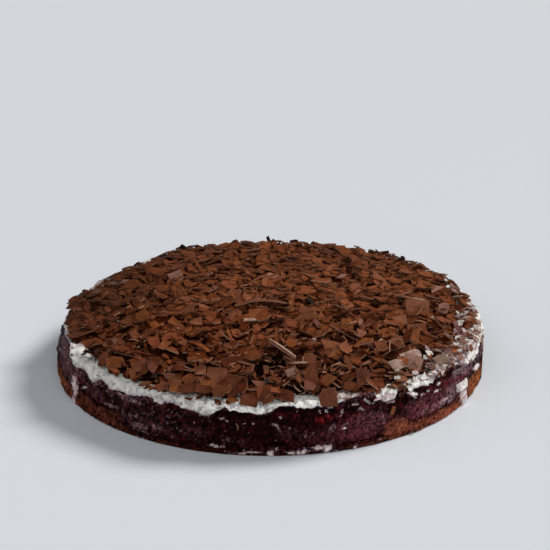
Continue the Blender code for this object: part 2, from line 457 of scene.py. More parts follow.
def filling_look():
    look = side_look("berry_gel", 0.38, 0.014, 1.0 * MM, 0.4, 1.7, 0.3 * MM)
    look.feed("Roughness", look.ramp(look.noise(5 * MM, 3), 0.35, 0.65, 0.28, 0.6))
    return look.material


def cream_look(name="whipped_cream"):
    look = side_look(name, 0.6, 0.2, 1.2 * MM, 0.88, 1.08, 0.22 * MM)
    look.shader.inputs["Subsurface Weight"].default_value = 0.1
    look.shader.inputs["Subsurface Radius"].default_value = (1, 0.9, 0.8)
    look.shader.inputs["Subsurface Scale"].default_value = 0.6 * MM
    return look.material


FRESH_BREAK_AND_HIGHLIGHT = (0.40, 0.20, 0.12)


def chocolate_look(name, edge=False):
    """Milk chocolate with a tint for each flake, cloudy here and there, with faint scrape lines.

    The edges are painted darker than the faces, as shade; some are painted paler, as fresh breaks
    and as highlights.
    """
    look = Look(name, 0.45, 0.05)
    cloud = look.noise(3 * MM, 4)
    plain = look.scaled(look.painted("tint", "Color"), look.ramp(cloud, 0.35, 0.7, 0.75, 1.15))
    plain = look.scaled(plain, look.ramp(look.noise(0.9 * MM, 2), 0.3, 0.7, 0.86, 1.14))
    if edge:
        # Edges are painted darker as shade; the paler ones are painted as fresh breaks and as
        # highlights.
        plain = look.mix(look.painted("fresh_and_highlit"), look.scaled(plain, 0.62), FRESH_BREAK_AND_HIGHLIGHT)
    look.feed("Base Color", plain)
    look.feed("Roughness", look.ramp(cloud, 0.3, 0.7, 0.38, 0.56))
    look.bump(look.noise(0.5 * MM, 3), 0.06 * MM)
    return look.material


# --- The line between the layers ------------------------------------------------------------------


# The line under the cream where it is plain to see: bearing, height in mm.
CREAM_LINE = (
    (-104, 26), (-92, 27), (-82, 29), (-72, 31), (-65, 31), (-63.6, 26.5), (-60, 24.5), (-57, 27),
    (-53, 27.5), (-52, 24), (-51, 22.2), (-50, 22.8), (-48.5, 25), (-47, 27), (-45, 26.5),
    (-43.5, 25), (-42, 24.6), (-40, 25.6), (-38, 25), (-36, 26), (-34, 26), (-32, 27.5),
    (-30, 27.4), (-29, 25.2), (-27, 25), (-26, 27), (-24, 27), (-22, 25.5), (-20, 25), (-18, 24),
    (-16.5, 22.6), (-15, 22.2), (-13.6, 24), (-13, 26), (-11, 28), (-9.5, 27), (-7, 26.5),
    (-5, 26.5), (-3, 25.4), (-1, 26), (0.2, 26.3), (1, 28), (2, 30), (3.5, 30.8), (5, 30.3),
    (7, 29), (8, 28.5), (12, 28.5), (16, 28.6), (17, 29.6), (19, 31.2), (24, 31.8), (26.6, 30.8),
    (27.6, 26.5), (30, 25), (32.4, 25.3), (33.2, 30.5), (35.4, 31.2), (36.4, 29), (37, 26.6),
    (38.4, 28), (40, 28), (42, 27.4), (44, 26.8), (45.3, 25.6), (46, 30), (48, 31.2), (51, 31.4),
    (55, 30.4), (58, 28.6), (60.5, 26), (62.5, 23.4), (65, 23), (68, 24.4), (72, 26), (80, 26),
    (92, 26),
)


def ragged(bearings, size, salt):
    """Fine noise round the cake's edge with teeth of about that many millimetres."""
    return rough(at(bearings, CAKE_RADIUS, salt * 0.1), size * MM, salt)


def layer_edges():
    """Each column's bearing and where the filling starts and ends there, with fine teeth."""
    bearings = np.arange(COLUMNS) * 360 / COLUMNS
    low = np.array([filling_bottom(b) for b in bearings])
    high = np.array([cream_bottom(b) for b in bearings])
    seen, line = np.array(CREAM_LINE).T
    around = angle_between(bearings, 0)
    share = rise(around, seen[0], 8) * smoothstep((seen[-1] - around) / 8)
    high = high + share * (np.interp(around, seen, line * MM) - high)
    low = low + 0.9 * MM * ragged(bearings, 5, 1) + 0.7 * MM * ragged(bearings, 1.8, 2)
    high = high + 0.5 * MM * ragged(bearings, 3.5, 3) + 0.6 * MM * ragged(bearings, 1.5, 4)
    return bearings[:, None], low[:, None], high[:, None]


# --- Colours and marks ----------------------------------------------------------------------------

CRUMB_BLACK = (0.007, 0.0018, 0.0012)
CRUMB_BROWN = (0.060, 0.0125, 0.0060)
CRUMB_RUST = (0.115, 0.028, 0.016)
CRUMB_ORANGE = (0.35, 0.112, 0.040)
CRUMB_BAKED = (0.165, 0.046, 0.019)
CRUMB_RED = (0.200, 0.050, 0.032)
CRUMB_WET = (0.30, 0.088, 0.042)
BERRY_BLACK = (0.0040, 0.0006, 0.0008)
BERRY_WINE = (0.026, 0.0036, 0.0046)
BERRY_RED = (0.100, 0.0065, 0.0075)
DARK_RED = (0.062, 0.012, 0.012)
DULL_PURPLE = (0.150, 0.036, 0.042)
MAUVE = (0.150, 0.070, 0.088)
GREY_MAUVE = (0.17, 0.105, 0.125)
ROSE = (0.36, 0.205, 0.205)
PALE_PINK = (0.50, 0.34, 0.34)
FLECK_WHITE = (0.74, 0.66, 0.63)
CREAM_WHITE = (0.93, 0.897, 0.838)
CREAM_SHADE = (0.31, 0.298, 0.285)
CREAM_LILAC = (0.34, 0.24, 0.28)
SMEARED_PINK = (0.42, 0.27, 0.29)
SMEARED_BROWN = (0.20, 0.085, 0.05)
SPECK_BROWN = (0.10, 0.06, 0.05)
HOLE_SHADE = (0.02, 0.006, 0.006)

# Cream, filling and chocolate scraped together: a share and the colour there.
MIX_STEPS = (
    (0.00, 0.070, 0.024, 0.025), (0.25, 0.170, 0.075, 0.070), (0.42, 0.270, 0.140, 0.120),
    (0.58, 0.420, 0.310, 0.330), (0.75, 0.620, 0.600, 0.540), (1.00, 0.860, 0.840, 0.800),
)

# The marks on the side, as patches() takes them. Here: baked crumb.
BAKED = (
    (68, 7, 11, 10, 0, 1.0), (55, 2, 5, 4.5, 0, 0.7), (-78, 6.5, 12, 7, 0.2, 0.65),
)
# Crumb that the filling has stained an even dull red.
STAINED = (
    (33.2, 7, 4.4, 8, 0, 1.0), (41, 5, 5, 6.5, 0, 0.9), (50, 3, 7, 5.5, 0, 1.0),
    (24, 2, 6, 2.5, 0, 0.5), (-64, 6, 6, 5, 0, 0.4),
)
# Crumb that is nearly black.
SOOTY = (
    (-52, 0.5, 9, 2.2, 0, 0.7), (-12, 2.2, 13, 3.4, 0, 0.75), (11, 3, 14, 3.0, 0, 0.75),
    (26, 3.2, 7, 1.6, 0, 0.9),
)
# Bright fruit in the filling.
RED = (
    (3, 24.5, 2.6, 2.0, 0, 0.30), (5.8, 24, 1.3, 1.8, 0, 0.65), (13.2, 21.2, 2.5, 3.2, -0.1, 1.0),
    (-66, 18, 2.2, 5.0, 0.2, 0.6), (-57, 19.5, 2.0, 3.0, 0.2, 0.6), (22.5, 21.5, 1.3, 1.3, 0, 0.8),
    (25, 23.5, 1.0, 1.4, 0, 0.4), (-59, 21.5, 2.6, 2.6, 0.3, 0.55), (-52, 9, 7, 5, 0, 0.15),
    (52, 23, 9, 2.8, -0.1, 0.85), (60, 20.5, 5, 3.4, -0.3, 0.95), (34, 22, 2.6, 3.0, 0, 0.3),
    (19, 18, 4, 4, 0, 0.35), (42, 25, 3, 1.2, 0, 0.25), (46, 15, 8, 5, 0, 0.16),
)
# Thin cream smeared into the filling.
HAZE = (
    (63, 20, 3.6, 4.0, 0, 0.8), (54.5, 23.8, 3.4, 2.2, 0, 0.9), (72, 23, 6, 5.0, 0, 0.8),
    (-84, 24, 18, 9, 0, 0.75), (-68, 17, 3.5, 6, 0, 0.75), (-61, 13, 2.6, 6.5, 0, 1.0),
    (-55.5, 23, 2.4, 3.0, 0, 0.35), (-47.5, 24.5, 1.6, 2.0, 0, 0.50), (-44, 23, 2.0, 2.6, 0, 0.45),
    (-50, 17.5, 4.0, 4.0, 0, 0.30), (-37, 22.5, 5.0, 2.6, 0, 0.40), (-33, 12, 9.0, 8.0, 0, 0.22),
    (-29, 8.5, 4.0, 2.5, 0, 0.30), (-19, 12, 4.0, 3.5, 0, 0.18), (-10.5, 9, 1.6, 1.6, 0, 0.50),
    (-7, 8, 1.5, 1.4, 0, 0.22), (15.3, 14, 1.2, 2.6, 0, 0.45), (6, 13, 4.0, 4.0, 0, 0.16),
    (20, 29, 3.6, 3.0, 0, 0.22), (25, 16, 6.0, 9.0, 0, 0.22), (37.4, 20.3, 1.4, 1.5, 0, 0.40),
    (51, 10.5, 3.6, 3.2, -0.6, 0.45), (57.5, 30, 2.0, 2.4, -0.8, 0.55),
    (44, 14, 8.0, 6.5, 0, 0.20), (57, 25, 5, 2.0, -0.5, 0.30), (56, 11.5, 2.4, 4.0, 0, 0.7),
)
# Thicker, and pinkish.
ROSY = (
    (-60.8, 13.5, 2.4, 6.5, 0, 1.0), (-58, 22, 1.6, 2.2, 0, 0.35), (-65, 22, 2.2, 4, 0, 0.35),
    (-43.5, 13.8, 2.6, 1.2, 0.2, 0.6), (-34, 8, 2.6, 1.6, 0, 0.5), (-38, 23, 3.0, 1.8, 0, 0.5),
    (-29, 10.5, 1.4, 1.4, 0, 0.4), (15.4, 14.5, 0.9, 2.2, 0, 0.4), (50, 11.5, 2.2, 2.4, 0, 0.6),
    (58, 29, 3.4, 2.4, -0.4, 0.6), (44, 11, 4, 2, 0, 0.25),
)
# Where the filling has dried to an even dull purple.
DULL = (
    (-70, 22, 7, 9, 0, 0.6), (24, 12, 9, 9, 0, 0.75), (44, 14, 9, 7, 0, 1.0),
    (54, 16, 6, 7, 0, 1.0), (14, 10, 6, 5, 0, 0.35),
)
# Where cream has made it grey.
GREY = (
    (54.5, 13, 4.5, 6, 0, 0.75), (60, 25, 6, 4, 0, 1.0), (75, 22, 7, 6, 0, 0.45),
    (-84, 23, 13, 6, 0, 0.6), (-88, 12, 9, 5, 0, 0.3),
)
# Where it is glossy and nearly black.
DEEP = (
    (-8, 25.0, 6.0, 2.6, 0, 1.0), (-1, 23.5, 4.0, 1.8, 0, 0.8), (11, 27.0, 4.5, 1.6, 0, 0.9),
    (-16, 20.5, 4.0, 2.0, 0, 0.7), (-3, 15, 8.0, 5.0, 0, 0.75), (3, 28, 2.2, 2.2, 0, 0.9),
    (9, 24, 3.0, 2.5, 0, 0.8), (34.7, 23, 1.9, 3.4, 0, 1.0), (39.5, 26, 2.2, 1.4, 0, 0.9),
    (44, 24.5, 3.6, 1.3, -0.1, 0.8), (48, 27.5, 1.6, 1.6, 0, 0.8), (-23, 22, 5, 3, 0, 0.6),
    (-41, 20, 2.0, 2.4, 0, 0.5),
)
# Thin flecks of cream on the side.
FLECKS = (
    (-54.5, 17, 0.8, 0.9, 0.3, 0.9), (-55.6, 15.4, 0.6, 0.6, 0, 0.7),
    (-45.8, 13.6, 1.0, 0.5, 0.3, 0.5), (-44.3, 14.6, 0.6, 0.6, 0, 0.5),
    (-36.6, 13, 0.45, 1.2, 0, 0.55), (-35.2, 13.2, 0.8, 0.6, 0, 0.45),
    (-32.5, 5.2, 4.0, 0.55, 0, 0.5), (-35, 22.4, 1.6, 0.9, 0, 0.6), (-40, 24.4, 0.8, 0.8, 0, 0.6),
    (-33.6, 0.9, 2.2, 0.7, 0, 0.7), (-12.6, 5.0, 2.7, 0.9, 0, 0.75),
    (-10.4, 20.4, 0.35, 0.5, 0, 0.8), (-11.8, 21.6, 0.9, 0.5, 0, 0.6),
    (-9.6, 1.8, 2.0, 1.0, 0, 0.5), (-5.2, 2.6, 3.0, 1.2, 0, 0.5), (-6.0, 19.8, 0.3, 0.4, 0, 0.6),
    (-3.7, 20, 0.6, 0.5, 0, 0.75), (0.9, 19.6, 0.3, 0.7, -0.3, 0.7),
    (1.8, 18.6, 0.4, 1.0, -0.3, 0.9), (2.2, 16, 0.3, 1.3, -0.2, 0.6),
    (2.6, 23.2, 0.4, 0.9, 0, 0.6), (1.8, 4.1, 0.35, 1.0, 0, 0.95), (5.6, 2.2, 1.5, 1.6, 0, 0.6),
    (8.6, 2.2, 2.2, 1.6, 0, 0.6), (12.2, 3.6, 1.8, 1.8, 0, 0.9), (12.2, 25.8, 0.35, 0.9, 0, 0.75),
    (13.8, 25.3, 0.4, 1.2, 0, 0.65), (14.8, 27.8, 0.7, 0.8, 0, 0.9),
    (17.9, 24, 0.45, 1.5, 0, 0.65), (16.4, 0.8, 0.6, 0.6, 0, 0.7),
    (21.4, 27.2, 1.3, 0.6, -0.3, 0.85), (22.8, 24, 0.7, 1.0, -0.5, 0.8),
    (24.4, 28.2, 0.5, 1.8, -0.5, 0.8), (26.0, 26.0, 1.2, 0.4, 0.3, 0.7),
    (27.4, 15, 0.6, 0.45, -1.0, 0.4), (28.3, 3, 1.1, 0.6, -0.5, 0.6),
    (29.2, 17, 0.3, 2.8, 0, 0.45), (31.4, 24.0, 1.3, 0.7, 0, 0.8), (38.8, 22.4, 0.5, 0.6, 0, 0.9),
    (41.3, 22.2, 0.8, 0.6, 0, 0.85), (43.8, 22.8, 1.0, 0.7, 0, 0.7),
    (47, 20.4, 1.2, 0.7, -0.5, 0.7), (47.8, 25, 0.6, 0.6, 0, 0.8),
    (50.6, 11.8, 1.3, 0.9, -0.3, 0.8), (52.4, 9.6, 0.8, 1.0, -0.3, 0.7),
    (49.0, 9.8, 0.5, 0.9, 0.3, 0.6), (55, 26.2, 1.4, 1.2, -0.5, 0.55),
    (60, 5.8, 2.4, 2.0, -0.3, 0.9), (112, 8, 2, 1.2, 0, 0.7), (131, 17, 1.2, 1.0, 0, 0.8),
    (144, 4, 3, 1.4, 0, 0.8), (163, 14, 1.0, 1.6, 0.2, 0.8), (171, 2, 3.5, 1.4, 0, 0.8),
    (184, 20, 0.8, 0.8, 0, 0.9), (197, 10, 1.4, 0.8, 0, 0.7), (219, 14, 1.6, 2.2, -0.2, 0.8),
    (236, 2, 3.0, 1.3, 0, 0.8), (255, 16, 1.0, 1.0, 0, 0.8),
)
# Cream with filling and chocolate scraped into it.
MIXED = (
    (72, 28.5, 8, 3.5, 0, 0.9), (63, 26, 4, 5, 0, 0.9), (38, 32, 2.0, 3, 0, 0.5),
    (48, 32.5, 6, 5, 0, 0.95), (60, 32.5, 10, 6, 0, 1.0), (76, 33, 10, 4.5, 0, 0.85),
    (97, 34, 12, 2.5, 0, 0.8), (22, 33.5, 4, 2.0, 0, 0.7), (140, 34, 20, 2.0, 0, 0.6),
    (-150, 34, 20, 2.0, 0, 0.6), (-98, 33, 12, 2.5, 0, 0.7),
)
# Filling and chocolate smeared into the cream.
LILAC = (
    (-61, 25.5, 3.0, 2.0, 0, 0.5), (-48, 34, 4.0, 1.2, 0, 0.6), (-39.5, 33.5, 1.6, 1.4, 0, 0.3),
    (-24, 31, 2.0, 2.4, 0, 0.5), (-20, 30, 3.0, 1.6, 0, 0.35), (29, 30, 3.0, 1.6, 0, 0.35),
    (42, 32, 5.0, 2.0, 0, 0.45), (58, 30, 6.0, 3.0, -0.5, 0.7),
)
BROWN = (
    (21, 31, 4.0, 2.2, 0, 0.9), (34.5, 32, 1.6, 2.4, 0, 0.9), (49, 31.5, 3.2, 2.0, 0, 0.5),
    (112, 33.6, 14, 2.2, 0, 0.85), (138, 33.8, 14, 2.0, 0, 0.8), (-120, 32.0, 15, 3.4, 0, 0.9),
    (62, 32, 9.0, 3.0, -0.6, 0.3), (80, 31, 10.0, 3.0, -0.6, 0.4), (82, 34.0, 13, 2.4, 0, 0.75),
    (100, 33.8, 10, 2.4, 0, 0.85),
)
# Where the filling has been drawn up over the cream.
WINE_STAINS = (
    (24.6, 32.2, 3.4, 2.0, 0, 1.0), (34.6, 32.2, 1.4, 4.0, 0, 1.0), (45.6, 31.0, 1.2, 2.6, 0, 0.7),
    (53.0, 31.5, 1.6, 2.2, -0.3, 0.35), (66.0, 30.0, 2.6, 2.0, -0.3, 0.5),
    (100, 30.5, 5.0, 2.0, 0, 0.6), (-120, 30.5, 6.0, 2.0, 0, 0.6),
)
# Small holes in the cream, painted black as their shade.
HOLES = (
    (-63, 29.4, 1.1, 0.9, 0.5, 1.0), (-51.3, 34.2, 0.7, 0.7, 0, 0.8),
    (-49.3, 28.2, 0.4, 0.4, 0, 0.6), (-31.2, 30.8, 0.35, 0.4, 0, 0.7),
    (36.8, 33, 0.7, 0.6, 0, 0.8), (37.6, 30.6, 0.5, 0.5, 0, 0.9), (41, 30, 0.5, 0.7, 0, 0.6),
    (44, 31.4, 0.5, 0.5, 0, 0.6),
)

# Thicker smears of cream on the side: bearing, height, half widths in degrees and mm, slant and
# thickness in mm.
SMEARS = (
    (-61.6, 2.2, 1.2, 2.6, 0, 0.9), (-60.9, 13.0, 2.2, 4.8, 0, 0.3),
    (-60.4, 7.6, 0.8, 2.2, 0, 0.5), (-54.5, 17, 0.55, 0.7, 0.3, 0.6),
    (-6.6, 1.5, 1.2, 0.6, 0, 0.5), (-3.9, 2.6, 1.3, 0.7, 0, 0.5), (0.2, 1.8, 0.8, 2.1, 0, 1.0),
    (5.2, 2.2, 0.9, 0.9, 0, 0.7), (7.6, 2.0, 1.0, 1.2, 0, 0.8), (11.9, 4.1, 1.2, 0.7, 0, 0.8),
    (14.3, 2.8, 1.0, 2.3, 0, 1.0), (18.5, 14, 0.55, 0.6, -0.4, 0.8),
    (17.8, 34.2, 0.9, 1.3, -0.3, 0.7), (21.4, 1.0, 0.6, 1.3, 0, 0.7),
    (30.4, 27.0, 1.7, 1.8, 0, 0.8), (27.6, 27.8, 0.9, 0.7, 0.4, 0.6),
    (37.9, 25.2, 1.1, 1.7, -0.5, 1.3), (48.5, 30.1, 1.3, 1.4, 0.2, 0.9),
    (47.7, 24.4, 0.7, 0.8, 0, 0.7), (46.7, 20.4, 0.8, 0.7, 0, 0.5),
    (48.6, 29.8, 0.8, 1.6, -0.3, 0.6), (59.5, 13.4, 3.1, 3.5, -0.12, 1.45),
    (60.3, 7.4, 2.3, 2.4, -0.1, 0.55), (61.0, 2.0, 1.9, 3.0, -0.1, 1.1),
    (69.9, 16.0, 2.4, 2.0, -0.4, 1.3), (100, 12, 1.5, 1.4, 0.4, 0.7), (118, 2.4, 2.2, 0.9, 0, 0.6),
    (152, 8, 1.0, 2.0, 0.3, 0.7), (203, 2.2, 1.4, 1.0, 0, 0.6), (268, 4, 0.9, 1.6, 0, 0.6),
)
# Where they have spread thinly round themselves.
HALOS = [
    (bearing, height, 1.5 * wide + 0.3, 1.4 * high + 0.4, slant, 0.8)
    for bearing, height, wide, high, slant, _ in SMEARS
]


def hazy(skin):
    return np.maximum(skin.marked(HAZE, 71), skin.marked(HALOS, 84))


def fleck_share(skin):
    """How much of the flecks is left at each point, as they break up into grains."""
    return smoothstep((1.35 * skin.marked(FLECKS, 87) - 0.68 + 0.7 * skin.rough(1.3, 90)) / 0.5)


def flecked(skin, colours):
    """The colours with the thin flecks of cream over them."""
    shade = 0.45 + 0.9 * skin.rough(1.7, 91)
    return blend(0.7 * fleck_share(skin), colours, blend(shade, PALE_PINK, FLECK_WHITE))


# --- Sponge base ----------------------------------------------------------------------------------


def sponge_relief(points):
    """Crumb: shallow swells, torn pits and small holes."""
    near, own = grains(points, 2.6 * MM, 11)
    holes = -0.8 * MM * smoothstep(1 - near / 0.42) * (own > 0.45)
    return 0.35 * MM * rough(points, 4 * MM, 12) + 0.25 * MM * rough(points, 1.4 * MM, 13) + holes


SPONGE_ROWS = 22
FOOT_RADII = np.array((60, 110, 124, 127.5, 128.8)) * MM


def make_sponge(bearings, low):
    side = ladder(FOOT_BEVEL, low, SPONGE_ROWS)
    inner = CAKE_RADIUS - RUN_THICKNESS
    shape = profile(
        (FOOT_RADII, 0),
        (radii_on(bearings, side, side_radius), side),
        (inner, low + RUN_SHOULDER),
        (inner, BASE_HEIGHT),
        (np.array((100, 40)) * MM, BASE_HEIGHT),
    )
    piece, skin, _ = turned_piece(
        "sponge", bearings, shape, sponge_relief, sponge_look(), "sponge_base", len(FOOT_RADII)
    )
    tint(piece, sponge_colours(skin, low))


def sponge_colours(skin, low):
    """Dark crumb, baked orange-brown in places, stained by the filling that runs over it."""
    broad, middle, fine = skin.rough(7, 14), skin.rough(2.6, 15), skin.rough(1.2, 16)
    behind = backward(skin.bearings, 82, 14)
    baked = np.maximum(skin.marked(BAKED), behind * (0.65 + 0.6 * broad))
    rusty = leftward(skin.bearings, -36, 12) * (0.55 + 0.8 * middle + 0.9 * fine)
    crumb = blend(0.5 + 0.9 * middle + 0.8 * fine, CRUMB_BLACK, CRUMB_BROWN)
    crumb = blend(rusty, crumb, CRUMB_RUST)
    light = blend(0.55 + 0.8 * middle + 0.9 * fine, CRUMB_BAKED, CRUMB_ORANGE)
    even = rise(angle_between(skin.bearings, 0), 22, 16)
    light = blend(rise(-fine - middle, 0.15, 0.2) * (1 - 0.8 * even), light, CRUMB_BLACK)
    colours = blend(baked * (0.85 + 0.4 * middle), crumb, light)
    stained = skin.marked(STAINED, 64)
    wet = blend(0.3 + 1.1 * fine, CRUMB_RED, CRUMB_WET)
    colours = blend(0.9 * stained * smoothstep(0.95 + 0.9 * middle + 0.8 * fine), colours, wet)
    below = (low - skin.heights) / MM
    soaked = smoothstep(1.1 - below / 3.0 + 0.8 * broad) * (1 - 0.55 * baked) * (1 - 0.8 * stained)
    soaked = np.maximum(0.8 * skin.marked(SOOTY, 61), soaked)
    colours = blend(soaked, colours, blend(0.5 + middle, BERRY_BLACK, BERRY_WINE))
    colours = blend(hazy(skin) * smoothstep(0.5 + 1.1 * middle + 1.6 * fine), colours, MAUVE)
    return flecked(skin, colours)


# --- Berry filling --------------------------------------------------------------------------------


def filling_relief(points):
    """Grainy gel: coarse grains at the left, smoother towards the front's right."""
    skin = Skin(points)
    coarse = np.maximum(leftward(skin.bearings, -8, 25), backward(skin.bearings, 30, 40))
    near, own = grains(points, 2.4 * MM, 21)
    beads = (0.25 + 0.45 * coarse) * MM * (1 - np.minimum(near, 1) ** 2) * (0.5 + own)
    swell = 0.75 * MM * skin.rough(6, 22) + 0.35 * MM * skin.rough(2, 23)
    return beads + swell - 0.7 * MM + 0.4 * MM * fleck_share(skin)


FILLING_ROWS = 36


def make_filling(bearings, low, high):
    recess = cream_recess(bearings)
    side = ladder(low - 0.1 * MM, high + 0.3 * MM, FILLING_ROWS)
    radii = radii_on(bearings, side, side_radius)
    radii[:, 0] -= 0.9 * MM
    radii[:, 1] -= 0.2 * MM
    climb = np.clip(1 - (high + 0.3 * MM - side) / SET_BACK_HEIGHT, 0, 1)
    radii -= recess * climb**SET_BACK_CURVE
    inner = CAKE_RADIUS - RUN_THICKNESS
    floor = BASE_HEIGHT + 0.3 * MM
    shape = profile(
        (np.array((60, 115)) * MM, floor),
        (inner, floor),
        (inner + 0.4 * MM, low + RUN_SHOULDER),
        (radii, side),
        (128 * MM - recess, high + 0.5 * MM),
        (np.array((123, 100, 40)) * MM, FILLING_TOP),
    )
    piece, skin, _ = turned_piece(
        "filling", bearings, shape, filling_relief, filling_look(), "berry_filling", 4
    )
    tint(piece, filling_colours(skin, high))


def filling_colours(skin, high):
    """Nearly black gel with wine-red fruit, dull where it dried, hazy where cream has mixed in."""
    broad, middle, fine = skin.rough(6, 24), skin.rough(2.4, 25), skin.rough(1.15, 26)
    behind = backward(skin.bearings, 80, 14)
    left = leftward(skin.bearings, -12, 10)
    dark = blend(0.35 + 0.5 * broad + 1.0 * middle + 1.4 * fine, BERRY_BLACK, BERRY_WINE)
    fine = fine * (1 - 0.6 * rise(angle_between(skin.bearings, 0), 46, 10))
    dried = skin.marked(DULL)
    dull = np.maximum(dried, behind * (0.5 + 0.9 * broad))
    colours = blend(0.85 * dull * (0.72 + 0.6 * middle + 0.7 * fine), dark, DULL_PURPLE)
    deep = skin.marked(DEEP, 54)
    colours = blend(0.85 * deep, colours, BERRY_BLACK)
    strewn = 0.5 * rise(skin.rough(4.5, 27), 0.45, 0.25)
    red = np.maximum(skin.marked(RED, 57), strewn * (1 - deep))
    colours = blend(red * smoothstep(0.55 + 0.8 * middle + 0.7 * fine), colours, BERRY_RED)
    haze = np.maximum(hazy(skin), 0.35 * behind * smoothstep(skin.rough(9, 28) * 2))
    reach_down = (1.6 + 2.2 * leftward(skin.bearings, -25, 15)) * MM
    under_cream = 0.7 * smoothstep(1 - (high - skin.heights) / reach_down) * (1 - deep)
    haze = np.maximum(haze, under_cream)
    colours = blend(haze * smoothstep(0.5 + 1.1 * middle + 1.8 * fine), colours, MAUVE)
    rosy = skin.marked(ROSY, 73) * smoothstep(0.8 + 1.0 * middle + 0.8 * fine)
    colours = blend(rosy, colours, ROSE)
    flecks = rise(skin.rough(1.5, 29), 0.72, 0.12) * (skin.rough(8, 30) > 0.0)
    colours = blend(0.7 * flecks * (1 - deep), colours, PALE_PINK)
    blotch = np.clip(1.05 + 1.1 * skin.rough(2.6, 35), 0.4, 1.9)
    even = np.maximum(left * (1 - leftward(skin.bearings, -62, 10)), dried)
    colours = colours * (blotch + (1 - blotch) * even)[..., None]
    grey = skin.marked(GREY, 58) * smoothstep(0.75 + 1.0 * middle + 0.8 * fine)
    colours = blend(grey, colours, GREY_MAUVE)
    mottle = skin.rough(3.6, 33)
    colours = blend(0.5 * left * rise(mottle, 0.15, 0.3), colours, DARK_RED)
    colours = colours * (1 - 0.55 * left * rise(-mottle, 0.05, 0.3))[..., None]
    beads = rise(skin.rough(1.5, 31), 0.30, 0.25) * smoothstep(0.35 + 1.5 * skin.rough(5, 32))
    colours = blend(0.7 * beads * left, colours, GREY_MAUVE)
    return flecked(skin, colours)


# --- Whipped cream --------------------------------------------------------------------------------

RIM_WIDTH = 3.6 * MM  # of the rounded edge between the cream's side and top
RIM_DROP = 2.4 * MM
LIP_HEIGHT = 3.5 * MM  # over which the cream's side draws in from the filling's
CREAM_ROWS = 16
TOP_ROW = 0.8 * MM  # width of a row over the cream's rim
TOP_ROWS = 20


def leftness(bearings):
    """0 from the front to the right, 1 at the left, where the cream is softer."""
    return leftward(bearings, -8, 22)


def cream_relief(points):
    """Clotted cream: billows with creases between them, teeth and pores."""
    mound = rough(points, 9 * MM, 34)
    billow = 0.9 - 2.2 * np.abs(rough(points, 4.2 * MM, 31))
    fluff = 0.9 - 2.2 * np.abs(rough(points, 1.9 * MM, 32))
    fluff = fluff * (1 - 0.6 * leftness(bearing_of(points)))
    near, own = grains(points, 2.1 * MM, 33)
    pores = smoothstep(1 - near / 0.45) * (own > 0.6)
    lumps = 0.5 * mound + 0.55 * billow + 0.26 * fluff
    return 1.25 * lumps * MM - 0.8 * MM * pores - 0.4 * MM


def rim_height(radius, rim):
    """Height of the cream's top over its rounded edge, for a rim of that radius."""
    past = np.clip((radius - (rim - RIM_WIDTH)) / RIM_WIDTH, 0, 1)
    return cream_height(radius) - RIM_DROP * (1 - np.sqrt(1 - past * past))


def make_cream(bearings, high):
    shoulder = np.maximum(CREAM_TOP - RIM_DROP, high + 1.1 * MM)
    side = ladder(high + 0.4 * MM, shoulder, CREAM_ROWS)
    radii = radii_on(bearings, side, cream_radius)
    lip = radii_on(bearings, high, side_radius) - cream_recess(bearings)
    radii = radii + (lip - radii) * (1 - rise(side, high, LIP_HEIGHT))
    bend = np.radians(np.linspace(0, 90, 8)[1:])
    bent = radii[:, -1:] - RIM_WIDTH * (1 - np.cos(bend))
    raised = shoulder + np.sin(bend) * (cream_height(124 * MM) - shoulder)
    top = ladder(bent[:, -1:] - TOP_ROW, 108 * MM, TOP_ROWS)
    inside = np.array((100, 85, 50, 20)) * MM
    floor = FILLING_TOP + 0.42 * MM
    shape = profile(
        (np.array((60, 110)) * MM, floor),
        (CAKE_RADIUS - CREAM_RIM_ROUND - SLOPE_WIDTH, floor),
        (lip - 1.5 * MM, high - 0.1 * MM),
        (lip - 0.2 * MM, high + 0.1 * MM),
        (radii, side),
        (bent, raised),
        (top, cream_height(top)),
        (inside, cream_height(inside)),
    )
    piece, skin, push = turned_piece(
        "cream", bearings, shape, cream_relief, cream_look(), "cream_layer", 4
    )
    tint(piece, cream_colours(skin, high, push))


